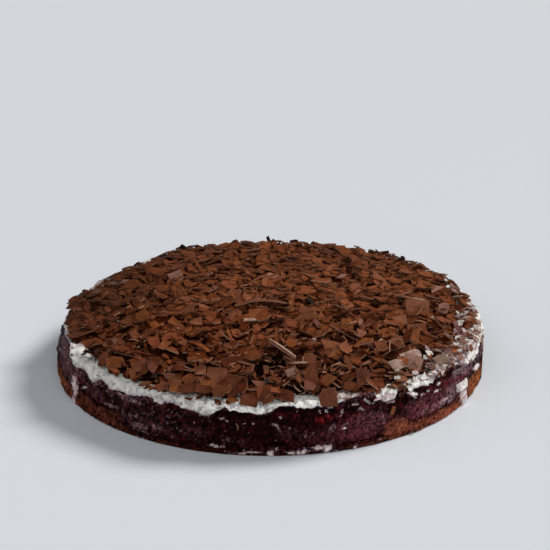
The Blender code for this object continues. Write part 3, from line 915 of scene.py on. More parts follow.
def cream_colours(skin, high, push):
    """White, with painted shade in its hollows and patches, specks of poppy seed and smears of
    filling.
    """
    middle = skin.rough(3.0, 37)
    left = leftness(skin.bearings)
    fine = skin.rough(1.3, 38) * (1 - 0.6 * left)
    # Painted shade: greyer in the relief's hollows and in patches, more so near a bearing of -18
    # degrees.
    hollow = np.clip(-push / (0.9 * MM), 0, 1)
    limb = leftward(skin.bearings, -52, 12)
    peppered = smoothstep(1.7 - np.abs(angle_between(skin.bearings, -18)) / 9)
    shade = 0.14 + 0.14 * peppered + 0.45 * hollow + (1.15 - 0.4 * left) * middle
    shade = smoothstep(shade + (0.5 + 0.5 * peppered) * fine)
    # Painted shade over the left, a little less at its far edge.
    shown = 1 - 0.30 * left + 0.18 * limb
    colours = blend(0.9 * shade, CREAM_WHITE, CREAM_SHADE) * shown[..., None]
    swirl = 0.70 + 0.9 * skin.rough(4.0, 45) + 0.9 * skin.rough(1.8, 46)
    colours = blend(skin.marked(MIXED, 83), colours, mixed_colour(swirl))
    lilac = skin.marked(LILAC, 74) * smoothstep(0.7 + 1.2 * fine)
    above = (skin.heights - high) / MM
    edge = (0.6 + 0.3 * left) * smoothstep(1 - above / (1.5 + 1.4 * left))
    edge = edge * smoothstep(0.5 + 0.15 * left + 1.2 * skin.rough(3.4, 39))
    colours = blend(np.maximum(lilac, edge), colours, CREAM_LILAC)
    stain = blend(0.5 + middle + fine, BERRY_WINE, DULL_PURPLE)
    colours = blend(skin.marked(WINE_STAINS, 85), colours, stain)
    brown = skin.marked(BROWN, 77) * smoothstep(0.65 + 1.3 * fine + 0.8 * middle)
    colours = blend(brown, colours, SMEARED_BROWN)
    specks = smoothstep((skin.rough(1.25, 40) - 0.66 + 0.17 * peppered) / 0.12)
    colours = blend(0.75 * specks * (middle > -0.25), colours, SPECK_BROWN)
    # The holes are painted black, as shade.
    return blend(skin.marked(HOLES, 80), colours, HOLE_SHADE)


def mixed_colour(share):
    """The colour of cream, filling and chocolate scraped together; 1 is all cream."""
    steps, *channels = np.array(MIX_STEPS).T
    return np.stack([np.interp(share, steps, channel) for channel in channels], -1)


# --- Smears of cream on the side ------------------------------------------------------------------

SMEAR_STEP = 0.4 * MM
SMEAR_SUNK = 0.9 * MM


def make_smears():
    """Flecks and streaks of cream, each a thin closed shell with a frayed outline."""
    points, faces, colours = [], [], []
    degree = math.radians(1) * CAKE_RADIUS
    for number, (bearing, height, wide, high, slant, thick) in enumerate(SMEARS):
        columns = max(6, round(3.2 * wide * degree / SMEAR_STEP))
        rows = max(6, round(3.2 * high * MM / SMEAR_STEP))
        u = np.linspace(-1.6, 1.6, columns)[:, None] + np.zeros(rows)
        v = np.linspace(-1.6, 1.6, rows)[None] + np.zeros((columns, 1))
        up = (height + v * high) * MM
        around = bearing + u * wide + slant * v * high
        skin = Skin(at(around, CAKE_RADIUS, up))
        small = min(1.0, 1.5 / min(high, 2 * wide))
        fray = 0.45 * small * skin.rough(2.2, 91 + number) + 0.34 * small * skin.rough(1.2, 92)
        inside = 1.05 - (u**4 + v**4) ** (1 / 4) + fray
        body = thick * MM * smoothstep(inside / 0.5) * (0.75 + 0.5 * skin.rough(1.6, 93))
        keep = (inside > 0.02) & (up > 0.1 * MM)
        surface = radii_on(around, up, side_radius)
        outer = at(around, surface + body - 0.1 * MM, up)
        shell(points, faces, keep, outer, at(around, surface - SMEAR_SUNK, up))
        shade = np.clip(0.25 + 0.6 * skin.rough(1.5, 94), 0, 1)
        pink = smoothstep(1 - inside / 0.8) + 0.6 * smoothstep(skin.rough(2.0, 95) * 2)
        pink = np.clip(pink + 0.9 * (1 - thick) + 0.35 * (height < 5), 0, 1)
        shown = blend(0.85 * pink, blend(0.4 * shade, CREAM_WHITE, CREAM_SHADE), SMEARED_PINK)
        colours += [shown[keep], shown[keep]]
    piece = add_piece("cream_smears", points, faces, [cream_look("smeared_cream")])
    tint(piece, np.concatenate(colours))


def shell(points, faces, keep, outer, inner):
    """Adds the kept part of a grid as a closed sheet between its outer and inner points."""
    number = np.full(keep.shape, -1)
    number[keep] = np.arange(keep.sum())
    first, count = len(points), int(keep.sum())
    points.extend(outer[keep].tolist())
    points.extend(inner[keep].tolist())
    edges = {}
    for i in range(keep.shape[0] - 1):
        for j in range(keep.shape[1] - 1):
            ring = (number[i, j], number[i + 1, j], number[i + 1, j + 1], number[i, j + 1])
            ring = [int(k) for k in ring if k >= 0]
            if len(ring) < 3:
                continue
            faces.append([first + k for k in ring])
            faces.append([first + count + k for k in reversed(ring)])
            for a, b in zip(ring, ring[1:] + ring[:1]):
                if (b, a) in edges:
                    del edges[b, a]
                else:
                    edges[a, b] = True
    for a, b in edges:
        faces.append((first + b, first + a, first + count + a, first + count + b))


GRAINS_PER_AREA = 1.0  # for each square millimetre of a fleck
GRAIN_SIZE = (0.22 * MM, 0.5 * MM)
GRAIN_TIPS = ((1, 0, 0), (-1, 0, 0), (0, 1, 0), (0, -1, 0), (0, 0, 1), (0, 0, -1))
GRAIN_FACES = (
    (0, 2, 4), (2, 1, 4), (1, 3, 4), (3, 0, 4),
    (2, 0, 5), (1, 2, 5), (3, 1, 5), (0, 3, 5),
)


def make_flecks():
    """Grains of cream on the side, gathered where the flecks are."""
    draw = random.Random(SEED + 3)
    points, faces, colours = [], [], []
    for bearing, height, wide, high, slant, strength in FLECKS:
        area = math.pi * wide * math.radians(CAKE_RADIUS / MM) * high
        area *= 0.3 if height < 7 else 1.0
        for _ in range(1 + round(GRAINS_PER_AREA * strength * area)):
            turn, out = draw.uniform(0, 2 * math.pi), 1.15 * math.sqrt(draw.random())
            up = height + high * out * math.sin(turn)
            around = bearing + wide * out * math.cos(turn) + slant * (up - height)
            up = max(up, 0.6) * MM
            size = draw.uniform(*GRAIN_SIZE)
            centre = at(around, side_radius(around, up) - 0.1 * size, up)
            faces += [[len(points) + corner for corner in face] for face in GRAIN_FACES]
            for tip in GRAIN_TIPS:
                jitter = [draw.uniform(-0.35, 0.35) for _ in range(3)]
                points.append((centre + size * (np.array(tip) + jitter)).tolist())
            shown = blend(draw.random() * (bearing > -20), PALE_PINK, FLECK_WHITE)
            colours.append(np.tile(strength * shown, (len(GRAIN_TIPS), 1)))
    piece = add_piece("cream_flecks", points, faces, [cream_look("cream_grains")])
    tint(piece, np.concatenate(colours))


# --- Chocolate ------------------------------------------------------------------------------------

CELL = 0.5 * MM  # of the heap's grid of heights
REACH = 133 * MM
BED_LIFT = 0.9 * MM  # of the bed's crumbs over the cream
BED_INSET = 3.5 * MM  # of its edge from the field's
BED_SPREAD = 3.3 * MM  # how much farther out it comes behind
FLAKE_THICKNESS = (0.55 * MM, 0.95 * MM)
WEDGE_SLOPE = (0.35, 1.1)
WEDGE_SHARE = 0.6  # of what is under a slanted flake that lies below it
OUTWARD_FALL = 0.35
HIGHEST_TIP = 44.5 * MM
FAR_SMALLER = 0.08
CALM_BACK = 70 * MM  # no curls and hardly a flake on edge lie farther back than this
FAR_BELOW = -20.0  # height at which a falling flake's three props start, 1 m round it
REST_TRIES = 40
FIELD_RADIUS = 129 * MM  # within which flakes are dropped
LOWEST_FLAKE = 20 * MM
CURL_THICKNESS = 0.6 * MM

# How far out the flakes reach: bearing, radius in mm.
REACH_LINE = (
    (-180, 127), (-168.5, 127), (-167.6, 124), (-166.8, 124), (-166, 127), (-150, 126.5),
    (-140, 124), (-133, 122), (-125, 119.5), (-112, 119), (-105, 121), (-98, 124.5), (-90, 125),
    (-78, 124.6), (-66, 125), (-60, 126.5), (-54, 127), (-46, 127), (-38, 128), (-30, 128.5),
    (-24, 129), (-17, 129.5), (-10, 130), (-7.5, 127), (-5.2, 129.5), (-3.7, 129.5), (-2.3, 128),
    (-0.8, 130), (0.6, 126.5), (2.1, 129), (3.8, 128), (5.1, 126), (6.8, 123.5), (9.9, 123.5),
    (12, 127), (15, 127), (17, 123), (20, 122.5), (23, 126), (26, 129), (32, 129.5), (36, 128.5),
    (41, 126), (46, 125), (52, 125), (58, 124), (66, 124.5), (76, 124), (80, 125.6), (97, 125.4),
    (110, 126.2), (130, 127.6), (150, 128), (180, 127),
)
FIELD_INSET = 3.5 * MM
# Heights that no flake passes at the back: radius and height in mm.
ROOF = ((100, 43), (110, 39.5), (116, 37.3), (120, 35.6), (124, 33.8), (130, 30.5))
# How much higher that is at a radius of 116 mm: bearing, mm.
ROOF_LIFT = (
    (-180, 0), (-150, 0.5), (-140, -2), (-130, -3), (-110, -3), (-98, 0), (0, 0), (100, 3),
    (120, 2), (140, 1.5), (160, 0.3), (180, 0),
)
# Where the cream shows between the flakes: bearing, radius, half widths in degrees and mm, share.
BARE = (
    (-64.4, 118, 5.2, 12, 1.0), (-66, 123, 7.0, 3.6, 1.0), (-80, 123.6, 4.0, 2.2, 0.9),
    (-52, 124.5, 2.5, 2.0, 0.8), (-33, 124, 2.0, 1.6, 0.8), (22.5, 124, 1.6, 2.2, 0.9),
    (32, 122.5, 2.4, 3.0, 0.8), (39, 126, 2.0, 3.0, 0.9), (-41.6, 124.5, 1.4, 2.0, 0.9),
    (-23.2, 125, 1.4, 1.8, 0.9), (52, 121.5, 6.5, 6.0, 1.0), (60, 121.5, 4.5, 6.5, 1.0),
    (67, 121, 5.0, 5.5, 0.95), (76, 124, 5.5, 4.2, 0.95), (89, 125.5, 6.0, 3.0, 0.8),
)


def reach(bearing):
    """Radius that the flakes' outer ends come to at a bearing."""
    seen, line = np.array(REACH_LINE).T
    sway = 1.1 * MM * backward(bearing, 92, 15) * rough(at(bearing, CAKE_RADIUS, 0.0), 8 * MM, 7)
    return np.interp(angle_between(bearing, 0), seen, line * MM) + sway


def field_edge(bearing):
    """Radius that the flakes' middles come to at a bearing."""
    sway = rough(at(bearing, CAKE_RADIUS, 0.0), 12 * MM, 6)
    return reach(bearing) - FIELD_INSET + 0.9 * MM * sway


def bed_edge(bearing):
    """Radius of the bed of crumbs, farther out where the cream doesn't show from the front."""
    return field_edge(bearing) - BED_INSET + BED_SPREAD * backward(bearing, 85, 20)


class Heap:
    """What lies on the cream, as a grid of heights that flakes come to rest on."""

    def __init__(self):
        steps = np.arange(-REACH, REACH + CELL, CELL)
        self.x, self.y = np.meshgrid(steps, steps, indexing="ij")
        radius = np.hypot(self.x, self.y)
        bearing = bearing_of(np.stack([self.x, self.y], -1))
        rim = CAKE_RADIUS - CREAM_RIM_ROUND - cream_recess(bearing)
        height = rim_height(radius, rim)
        points = np.stack([self.x, self.y, height], -1)
        height = height + np.maximum(0, cream_relief(points))
        bed = cream_height(radius) + BED_LIFT * (1 + rough(points, 6 * MM, 41))
        height = np.where(radius < bed_edge(bearing), np.maximum(height, bed), height)
        self.height = np.where(radius < rim, height, -1.0)

    def cells_under(self, outline):
        """The grid's index ranges round an outline, and which of those cells are inside it."""
        low = np.floor((outline.min(0) + REACH) / CELL).astype(int)
        high = np.ceil((outline.max(0) + REACH) / CELL).astype(int) + 1
        window = (slice(low[0], high[0]), slice(low[1], high[1]))
        x, y = self.x[window], self.y[window]
        inside = np.ones(x.shape, bool)
        for a, b in zip(outline, np.roll(outline, -1, 0)):
            inside &= (b[0] - a[0]) * (y - a[1]) >= (b[1] - a[1]) * (x - a[0])
        return window, inside

    def rest(self, outline, centre):
        """The plane that a flake dropped there comes to rest on: three points hold it up."""
        window, inside = self.cells_under(outline)
        if inside.sum() < 3:
            return None
        x = self.x[window][inside] - centre[0]
        y = self.y[window][inside] - centre[1]
        z = self.height[window][inside]
        props = np.array([(math.sin(t), math.cos(t), FAR_BELOW) for t in (0, 2.1, 4.2)])
        for _ in range(REST_TRIES):
            plane = np.linalg.solve(np.column_stack([props[:, :2], np.ones(3)]), props[:, 2])
            over = z - (plane[0] * x + plane[1] * y + plane[2])
            worst = int(over.argmax())
            if over[worst] < 1e-7:
                break
            touch = np.array([x[worst], y[worst], z[worst]])
            for k in range(3):
                tried = props.copy()
                tried[k] = touch
                if holds_centre(tried):
                    props = tried
                    break
            else:
                break
        return plane

    def wedge(self, outline, centre, draw):
        """The plane of a flake stuck at a slant between the others, more often facing outward."""
        facing = draw.uniform(-math.pi, math.pi)
        slope = draw.uniform(*WEDGE_SLOPE)
        fall = slope * np.array((math.cos(facing), math.sin(facing)))
        if centre[1] < 0:
            fall = fall - OUTWARD_FALL * centre * np.hypot(*centre) / CAKE_RADIUS**2
        return self.propped(outline, centre, fall, WEDGE_SHARE)

    def propped(self, outline, centre, slope, share):
        """The plane with that slope that has a share of what is under it below it."""
        window, inside = self.cells_under(outline)
        if inside.sum() < 3:
            return None
        x = self.x[window][inside] - centre[0]
        y = self.y[window][inside] - centre[1]
        clearance = self.height[window][inside] - (slope[0] * x + slope[1] * y)
        return np.array((*slope, np.quantile(clearance, share)))

    def cover(self, outline, centre, plane, thickness, arch=0.0):
        """Raises the heap by a flake that lies on that plane."""
        window, inside = self.cells_under(outline)
        x = self.x[window][inside] - centre[0]
        y = self.y[window][inside] - centre[1]
        raised = plane[0] * x + plane[1] * y + plane[2] + thickness + arch
        before = self.height[window][inside]
        self.height[window][inside] = np.maximum(before, raised)

    def at(self, x, y):
        """The heap's height at a place."""
        i, j = round((x + REACH) / CELL), round((y + REACH) / CELL)
        return self.height[i, j]


def holds_centre(props):
    """True if the origin is inside the triangle that the props make on the ground."""
    (ax, ay, _), (bx, by, _), (cx, cy, _) = props
    first = ax * by - ay * bx
    second = bx * cy - by * cx
    third = cx * ay - cy * ax
    return min(first, second, third) >= 0 or max(first, second, third) <= 0


def cut(outline, across, reach):
    """The part of a convex outline that lies less than reach along a direction."""
    kept = []
    for a, b in zip(outline, np.roll(outline, -1, 0)):
        from_a, from_b = reach - a @ across, reach - b @ across
        if from_a >= 0:
            kept.append(a)
        if from_a * from_b < 0:
            kept.append(a + (b - a) * from_a / (from_a - from_b))
    return np.array(kept)


def turned(angle):
    return np.array(((math.cos(angle), math.sin(angle)), (-math.sin(angle), math.cos(angle))))


def shard_outline(length, draw):
    """A broken flake's outline round its centre, anticlockwise: straight sides, sharp corners."""
    outline = np.array([(-2, -2), (2, -2), (2, 2), (-2, 2)], float)
    sides = draw.choice((3, 4, 4, 5, 5, 6))
    start = draw.uniform(0, 2 * math.pi)
    for i in range(sides):
        turn = start + 2 * math.pi * (i + draw.uniform(-0.3, 0.3)) / sides
        across = np.array((math.cos(turn), math.sin(turn)))
        outline = cut(outline, across, draw.uniform(0.55, 1.0))
    outline = outline * (1, draw.uniform(0.4, 0.95))
    outline -= outline.mean(0)
    span = outline.max(0) - outline.min(0)
    outline *= length / max(span)
    return outline @ turned(draw.uniform(0, 2 * math.pi))


def strip_outline(length, width, spin, draw):
    """A long curl's outline: narrow, with slanted ends."""
    slant = draw.uniform(-0.5, 0.5) * width
    corners = ((-1, -1), (1, -1), (1, 1), (-1, 1))
    corners = [(x * length / 2 + y * slant, y * width / 2) for x, y in corners]
    return np.array(corners) @ turned(spin)


def broken(outline, draw, jag=0.012):
    """The outline with a slightly displaced point on each longer side, as a broken edge has."""
    size = np.linalg.norm(outline.max(0) - outline.min(0))
    points = []
    for a, b in zip(outline, np.roll(outline, -1, 0)):
        points.append(a)
        side = b - a
        length = np.linalg.norm(side)
        if length > 0.28 * size:
            out = np.array((side[1], -side[0])) / length
            share = draw.uniform(0.3, 0.7)
            points.append(a + side * share + out * draw.uniform(-1, 1) * jag * size)
    return np.array(points)


# Painted shade on flakes buried under others: the least light left on them at the front, back and
# rim, how deep they lie, and how much redder it makes them.
BURIED_FRONT = 0.06  # least light on a buried flake in the front of the heap
BURIED_BACK = 0.97
BURIED_RIM = 0.7
BURIED_COVER = 0.8 * MM  # what may lie over a flake that isn't buried
BURIED_DEPTH = 1.1 * MM
BURIED_HUE = np.array((1.0, 1.45, 1.9))
CHOCOLATE_DARK = np.array((0.078, 0.0165, 0.0040))
CHOCOLATE_LIGHT = np.array((0.278, 0.086, 0.032))
CHOCOLATE_BLOOM_AND_SHEEN = np.array((0.36, 0.21, 0.165))
RUSTY = np.array((1.04, 0.97, 0.72))
GREYISH = np.array((0.95, 1.06, 1.35))
REDDISH = np.array((1.0, 0.88, 0.94))

# Places in the heap where the flakes are painted in deep shade, as in gaps: bearing, radius, width,
# length, turn.
HOLLOWS = (
    (-6.1, 72.3, 9, 8, 10), (-0.4, 107.4, 7, 7, -10), (-6.0, 117.5, 7, 8, 20), (1.5, 118, 4, 7, 0),
    (8.9, 112.1, 3.2, 13, 5), (2.3, 79, 15, 5, -8), (-33, 73.5, 9, 7, 10), (-16, 109.5, 4.5, 4, 0),
    (-18.8, 121.6, 6, 4, 20), (18.5, 112.5, 6, 6, -30), (26.5, 89.6, 5, 6, 0),
    (20.4, 85.6, 6.5, 5, 20), (104, 65.6, 17, 7, -8), (94, 86, 18, 7, -12),
    (4.7, 116.5, 2.6, 6, 0), (53.6, 108.5, 3, 4, 0), (56.7, 111.8, 2.4, 3.4, 30),
    (46.2, 106.4, 3.4, 7, 10), (36.5, 105.8, 5, 4, -20), (54.8, 64.1, 3, 6, 0),
    (53, 71.1, 3, 4, 0), (107.1, 28.8, 12, 4, 6), (-65.6, 90.3, 4, 6, 10), (-45.6, 20.5, 7, 5, -6),
    (-58.3, 58.2, 9, 4, 12), (-48.7, 116.3, 7, 4, 20), (-18.7, 78.7, 7, 4, 20),
)


def hollow_shade(points):
    """How much painted shade falls on a point: 1 deep in one of the hollows, 0 outside them."""
    deepest = np.zeros(len(points))
    for bearing, radius, wide, long, turn in HOLLOWS:
        offset = points[:, :2] - at(bearing, radius * MM, 0.0)[:2]
        offset = offset @ turned(math.radians(-turn)) / (0.5 * MM) / (wide, long)
        deepest = np.maximum(deepest, smoothstep((1.45 - np.hypot(*offset.T)) / 0.7))
    return deepest


def farness(centre):
    """0 in the front of the heap, 1 at the back, where it is plainer."""
    return rise(centre[1], -70 * MM, 110 * MM)


def flake_colour(draw, far=0.0):
    """A flake's own colour: darker or lighter, some rusty, greyish or red, a few paler with bloom
    and a painted sheen.
    """
    tone = draw.betavariate(1.9, 1.9)
    tone = tone + far * (0.04 - 0.88 * (tone - 0.5))
    colour = CHOCOLATE_DARK * (1 - tone) + CHOCOLATE_LIGHT * tone
    kind = draw.random()
    if kind < 0.16:
        colour = colour * RUSTY ** (1 - 0.6 * far)
    elif kind < 0.34:
        colour = colour * GREYISH ** (1 - 0.6 * far)
    elif kind < 0.62:
        colour = colour * REDDISH ** (1 - 0.6 * far)
    # A few are paler, as bloom and as a painted sheen.
    elif kind < 0.64:
        bloom_and_sheen = draw.uniform(0.2, 0.7)
        colour = colour * (1 - bloom_and_sheen) + CHOCOLATE_BLOOM_AND_SHEEN * bloom_and_sheen
    return colour


def heap_light(centre, far):
    """Painted light and shade on the flakes at a place: shade at the left and round the back rim,
    and, but for the far left, light over the middle and shade at the front and back.
    """
    x, y, _ = centre
    # Painted shade at the left and round the back rim.
    gloom = 0.50 * rise(-x, 20 * MM, 90 * MM) * (0.62 + 0.38 * far)
    outer = rise(math.hypot(x, y), 112 * MM, 10 * MM) * far
    gloom += (0.16 + 0.20 * smoothstep(-x / (60 * MM))) * outer
    # Painted light over the middle, painted shade at the front and back.
    ahead = y / (50 * MM)
    lit = 0.23 * smoothstep(ahead + 1.7) * smoothstep(1.8 - ahead) - 0.11
    return (1 - gloom) * (1 + lit * rise(x, -90 * MM, 60 * MM))


def buried_light(heap, centre):
    """How light a flake is painted under what lies over it in the finished heap: painted shade,
    deeper the more lies over it.
    """
    x, y, z = centre
    over = max(0.0, heap.at(x, y) - z - BURIED_COVER)
    least = BURIED_FRONT + (BURIED_BACK - BURIED_FRONT) * smoothstep(0.74 + y / 0.15)
    least = max(least, BURIED_RIM * rise(math.hypot(x, y), 121 * MM, 5 * MM))
    return least + (1 - least) * math.exp(-over / BURIED_DEPTH)


class Shards:
    """Gathers many flakes into one mesh, with a colour for each and how much its edges are painted
    paler, as a fresh break and a highlight.
    """

    def __init__(self):
        self.points, self.faces, self.kinds = [], [], []
        self.tints, self.fresh_and_highlit = [], []

    def dye(self, centre, count, draw, colour=None):
        """Gives a flake's points their colour, with the heap's painted light and shade, and how
        pale its edges are painted.
        """
        far = farness(centre)
        given = colour is not None
        colour = np.array(colour) if given else flake_colour(draw, far)
        chance = (0.55 - 0.45 * far) * (1 - 0.6 * rise(-centre[0], 30 * MM, 50 * MM))
        edged = given and centre[0] > -30 * MM
        fresh_and_highlit = (edged or draw.random() < chance) * draw.uniform(0.3, 1.0)
        self.tints.append((colour * heap_light(centre, far), np.array(centre), count, given))
        # At the back the edges are painted paler, as light as the faces, without their painted
        # shade.
        self.fresh_and_highlit += [max(fresh_and_highlit, 0.22 * far)] * count

    def add(self, outline, frame, thickness, bend, draw, colour=None):
        """A plate with that flat outline, bent a little, in the frame's place and turn."""
        n = len(outline)
        turn = draw.uniform(0, math.pi)
        grain = np.array((math.cos(turn), math.sin(turn)))
        size = np.linalg.norm(outline.max(0) - outline.min(0))
        centre = outline.mean(0)
        inner = centre + (outline - centre) * 0.52
        upper = [(ring, thickness) for ring in (outline, inner, centre[None])]
        rim = len(self.points)
        for ring, height in (*upper, (outline, 0), (centre[None], 0)):
            sag = bend * ((ring - centre) @ grain) ** 2 / max(size, 1e-6)
            flat = np.column_stack([ring, sag + height])
            self.points.extend((flat @ frame[0].T + frame[1]).tolist())
        mid, peak = rim + n, rim + 2 * n
        sole, foot = peak + 1, peak + 1 + n
        for i in range(n):
            j = (i + 1) % n
            self.faces.append((rim + i, rim + j, mid + j, mid + i))
            self.faces.append((mid + i, mid + j, peak))
            self.faces.append((sole + i, sole + j, rim + j, rim + i))
            self.faces.append((sole + j, sole + i, foot))
            self.kinds += [0, 0, 1, 0]
        self.dye(frame[1], 3 * n + 2, draw, colour)

    def piece(self, name, looks, heap, replaces=()):
        """Makes the mesh; flakes buried under the finished heap or lying in one of the hollows are
        painted in shade.
        """
        piece = add_piece(name, self.points, self.faces, looks, replaces, 25)
        piece.data.polygons.foreach_set("material_index", self.kinds)
        colours, sunk = [], []
        for colour, centre, count, given in self.tints:
            shown = colour * buried_light(heap, centre) ** BURIED_HUE
            colours.append(np.tile(shown, (count, 1)))
            sunk += [not given] * count
        # Painted shade in the hollows, on flakes that have no given colour.
        light = 1 - np.array(sunk) * hollow_shade(np.array(self.points))
        tint(piece, np.concatenate(colours) * (0.05 + 0.95 * light)[:, None])
        paint(piece, "fresh_and_highlit", self.fresh_and_highlit * light)


def plane_frame(plane, centre):
    """A turn and a place that lay flat x, y coordinates round the centre onto the plane."""
    slope = np.array(plane[:2])
    steep = np.hypot(*slope)
    up = np.array((-slope[0], -slope[1], 1)) / math.hypot(1, steep)
    if steep < 1e-6:
        turn = np.eye(3)
    else:
        fall = np.array((slope[0], slope[1], 0)) / steep
        level = np.array((-fall[1], fall[0], 0))
        climb = np.array((fall[0], fall[1], steep)) / math.hypot(1, steep)
        # Flat coordinates along the fall line climb it; those across stay level.
        flat = np.stack([fall[:2], level[:2]])
        turn = np.column_stack([*(climb * a + level * b for a, b in flat.T), up])
    return turn, np.array((centre[0], centre[1], plane[2]))


def bareness(bearing, radius):
    """Share of the flakes missing at a place near the rim."""
    share = 0.05 * rise(radius, 112 * MM, 9 * MM)
    for middle, out, wide, deep, bare in BARE:
        away = math.hypot(angle_between(bearing, middle) / wide, (radius / MM - out) / deep)
        share = max(share, bare * smoothstep(1.6 - 1.1 * away))
    return share


def flake_length(draw):
    """Lengths as mixed as a grated bar's: mostly small shards, some large."""
    kind = draw.random()
    if kind < 0.30:
        return draw.uniform(2.2, 4.2) * MM
    if kind < 0.76:
        return draw.uniform(4.2, 8.0) * MM
    if kind < 0.97:
        return draw.uniform(8.0, 12.0) * MM
    return draw.uniform(12.0, 15.5) * MM


def scatter(heap, shards, count, draw, length=flake_length, tilted=0.0):
    """Drops that many flakes over the field; a share stays tilted, the others come to rest."""
    laid = 0
    while laid < count:
        bearing = draw.uniform(-180, 180)
        radius = FIELD_RADIUS * math.sqrt(draw.random())
        edge = field_edge(bearing)
        if radius > edge or draw.random() < bareness(bearing, radius):
            continue
        laid += 1
        centre = at(bearing, radius, 0)[:2]
        size = length(draw) * (1 - FAR_SMALLER * farness(centre))
        outline = shard_outline(size, draw)
        if draw.random() < tilted * (1 - 0.85 * farness(centre)):
            plane = heap.wedge(outline + centre, centre, draw)
        else:
            plane = heap.rest(outline + centre, centre)
            steepest = 1.3 if radius > 120 * MM else 0.9 - 0.4 * farness(centre)
            if plane is None or math.hypot(plane[0], plane[1]) > steepest:
                continue
        if plane is None or plane[2] < LOWEST_FLAKE:
            continue
        if fits(outline, centre, plane):
            drop(heap, shards, centre, outline, plane, draw)


def fits(outline, centre, plane):
    """True if a flake stays inside the heap's outline, which is lower at the back."""
    tips = plane[2] + outline @ plane[:2]
    far = outline + centre
    radii, bearings = np.hypot(*far.T), bearing_of(far)
    lift = np.interp(bearings, *zip(*ROOF_LIFT)) * np.clip((radii / MM - 100) / 16, 0, 1.4)
    roof = (np.interp(radii / MM, *zip(*ROOF)) + lift) * MM
    share = smoothstep(far[:, 1] / (30 * MM))
    limit = HIGHEST_TIP + share * (roof - HIGHEST_TIP)
    return (tips < limit).all() and (radii - reach(bearings)).max() < 0.8 * MM


def drop(heap, shards, centre, outline, plane, draw, colour=None):
    """Lays a flake there and raises the heap by it."""
    size = np.ptp(outline, 0).max()
    thickness = draw.uniform(*FLAKE_THICKNESS) * (0.7 + 0.3 * min(1, size / (7 * MM)))
    heap.cover(outline + centre, centre, plane, thickness)
    bend = draw.uniform(-0.03, 0.05)
    frame = plane_frame(plane, centre)
    shards.add(broken(outline, draw), frame, thickness, bend, draw, colour)


# Degrees between one flake and the next, and their lengths.
RIM_ROWS = (
    (1.5, (4 * MM, 7 * MM)),
    (2.4, (6 * MM, 10 * MM)),
)


def rim_flakes(heap, shards, draw):
    """The flakes whose outer ends make the heap's ragged edge."""
    for spacing, sizes in RIM_ROWS:
        bearing = -180.0
        while bearing < 180:
            bearing += spacing * draw.uniform(0.6, 1.4)
            outline = shard_outline(draw.uniform(*sizes), draw)
            out = at(bearing, 1.0, 0.0)[:2]
            inset = draw.uniform(0, 1.6) * MM + (outline @ out).max()
            centre = out * (reach(bearing) - inset)
            if draw.random() < bareness(bearing, np.hypot(*centre)):
                continue
            plane = heap.rest(outline + centre, centre)
            if plane is None or math.hypot(plane[0], plane[1]) > 1.4:
                continue
            if fits(outline, centre, plane):
                # Most rim flakes at the back are painted darker, as shade.
                shaded = centre[1] > 20 * MM and draw.random() < 0.7
                colour = flake_colour(draw) * draw.uniform(0.3, 0.7) if shaded else None
                drop(heap, shards, centre, outline, plane, draw, colour)


# Flakes smeared with cream and filling, which lie at the right of the rim.
COATED_COUNT = 150
COATED_BEARINGS = (34, 104)
COATED_RADII = (114 * MM, 128 * MM)


def coated_flakes(heap, shards, draw):
    for _ in range(COATED_COUNT):
        bearing, radius = draw.uniform(*COATED_BEARINGS), draw.uniform(*COATED_RADII)
        centre = at(bearing, radius, 0.0)[:2]
        outline = shard_outline(draw.uniform(2.0, 6.0) * MM, draw)
        plane = heap.rest(outline + centre, centre)
        if plane is None or math.hypot(plane[0], plane[1]) > 1.2:
            continue
        colour = mixed_colour(0.2 + 0.68 * draw.random() ** 0.8)
        colour = flake_colour(draw) * 1.2 if draw.random() < 0.15 else colour
        drop(heap, shards, centre, outline, plane, draw, colour)


BROWN_SHADE = (0.040, 0.012, 0.006)
BROWN_DARK = (0.105, 0.027, 0.012)
BROWN_RED = (0.122, 0.036, 0.016)
BROWN_PLAIN = (0.165, 0.053, 0.026)
BROWN_RUST = (0.200, 0.062, 0.020)
BROWN_GREY = (0.190, 0.072, 0.040)
BROWN_PINK = (0.235, 0.110, 0.078)
BROWN_PALE = (0.430, 0.290, 0.220)
CREAMY = (0.66, 0.60, 0.54)
BROWN_WET = (0.05, 0.012, 0.008)
BROWN_DULL = (0.20, 0.11, 0.08)
PURPLE_GREY = (0.095, 0.070, 0.090)

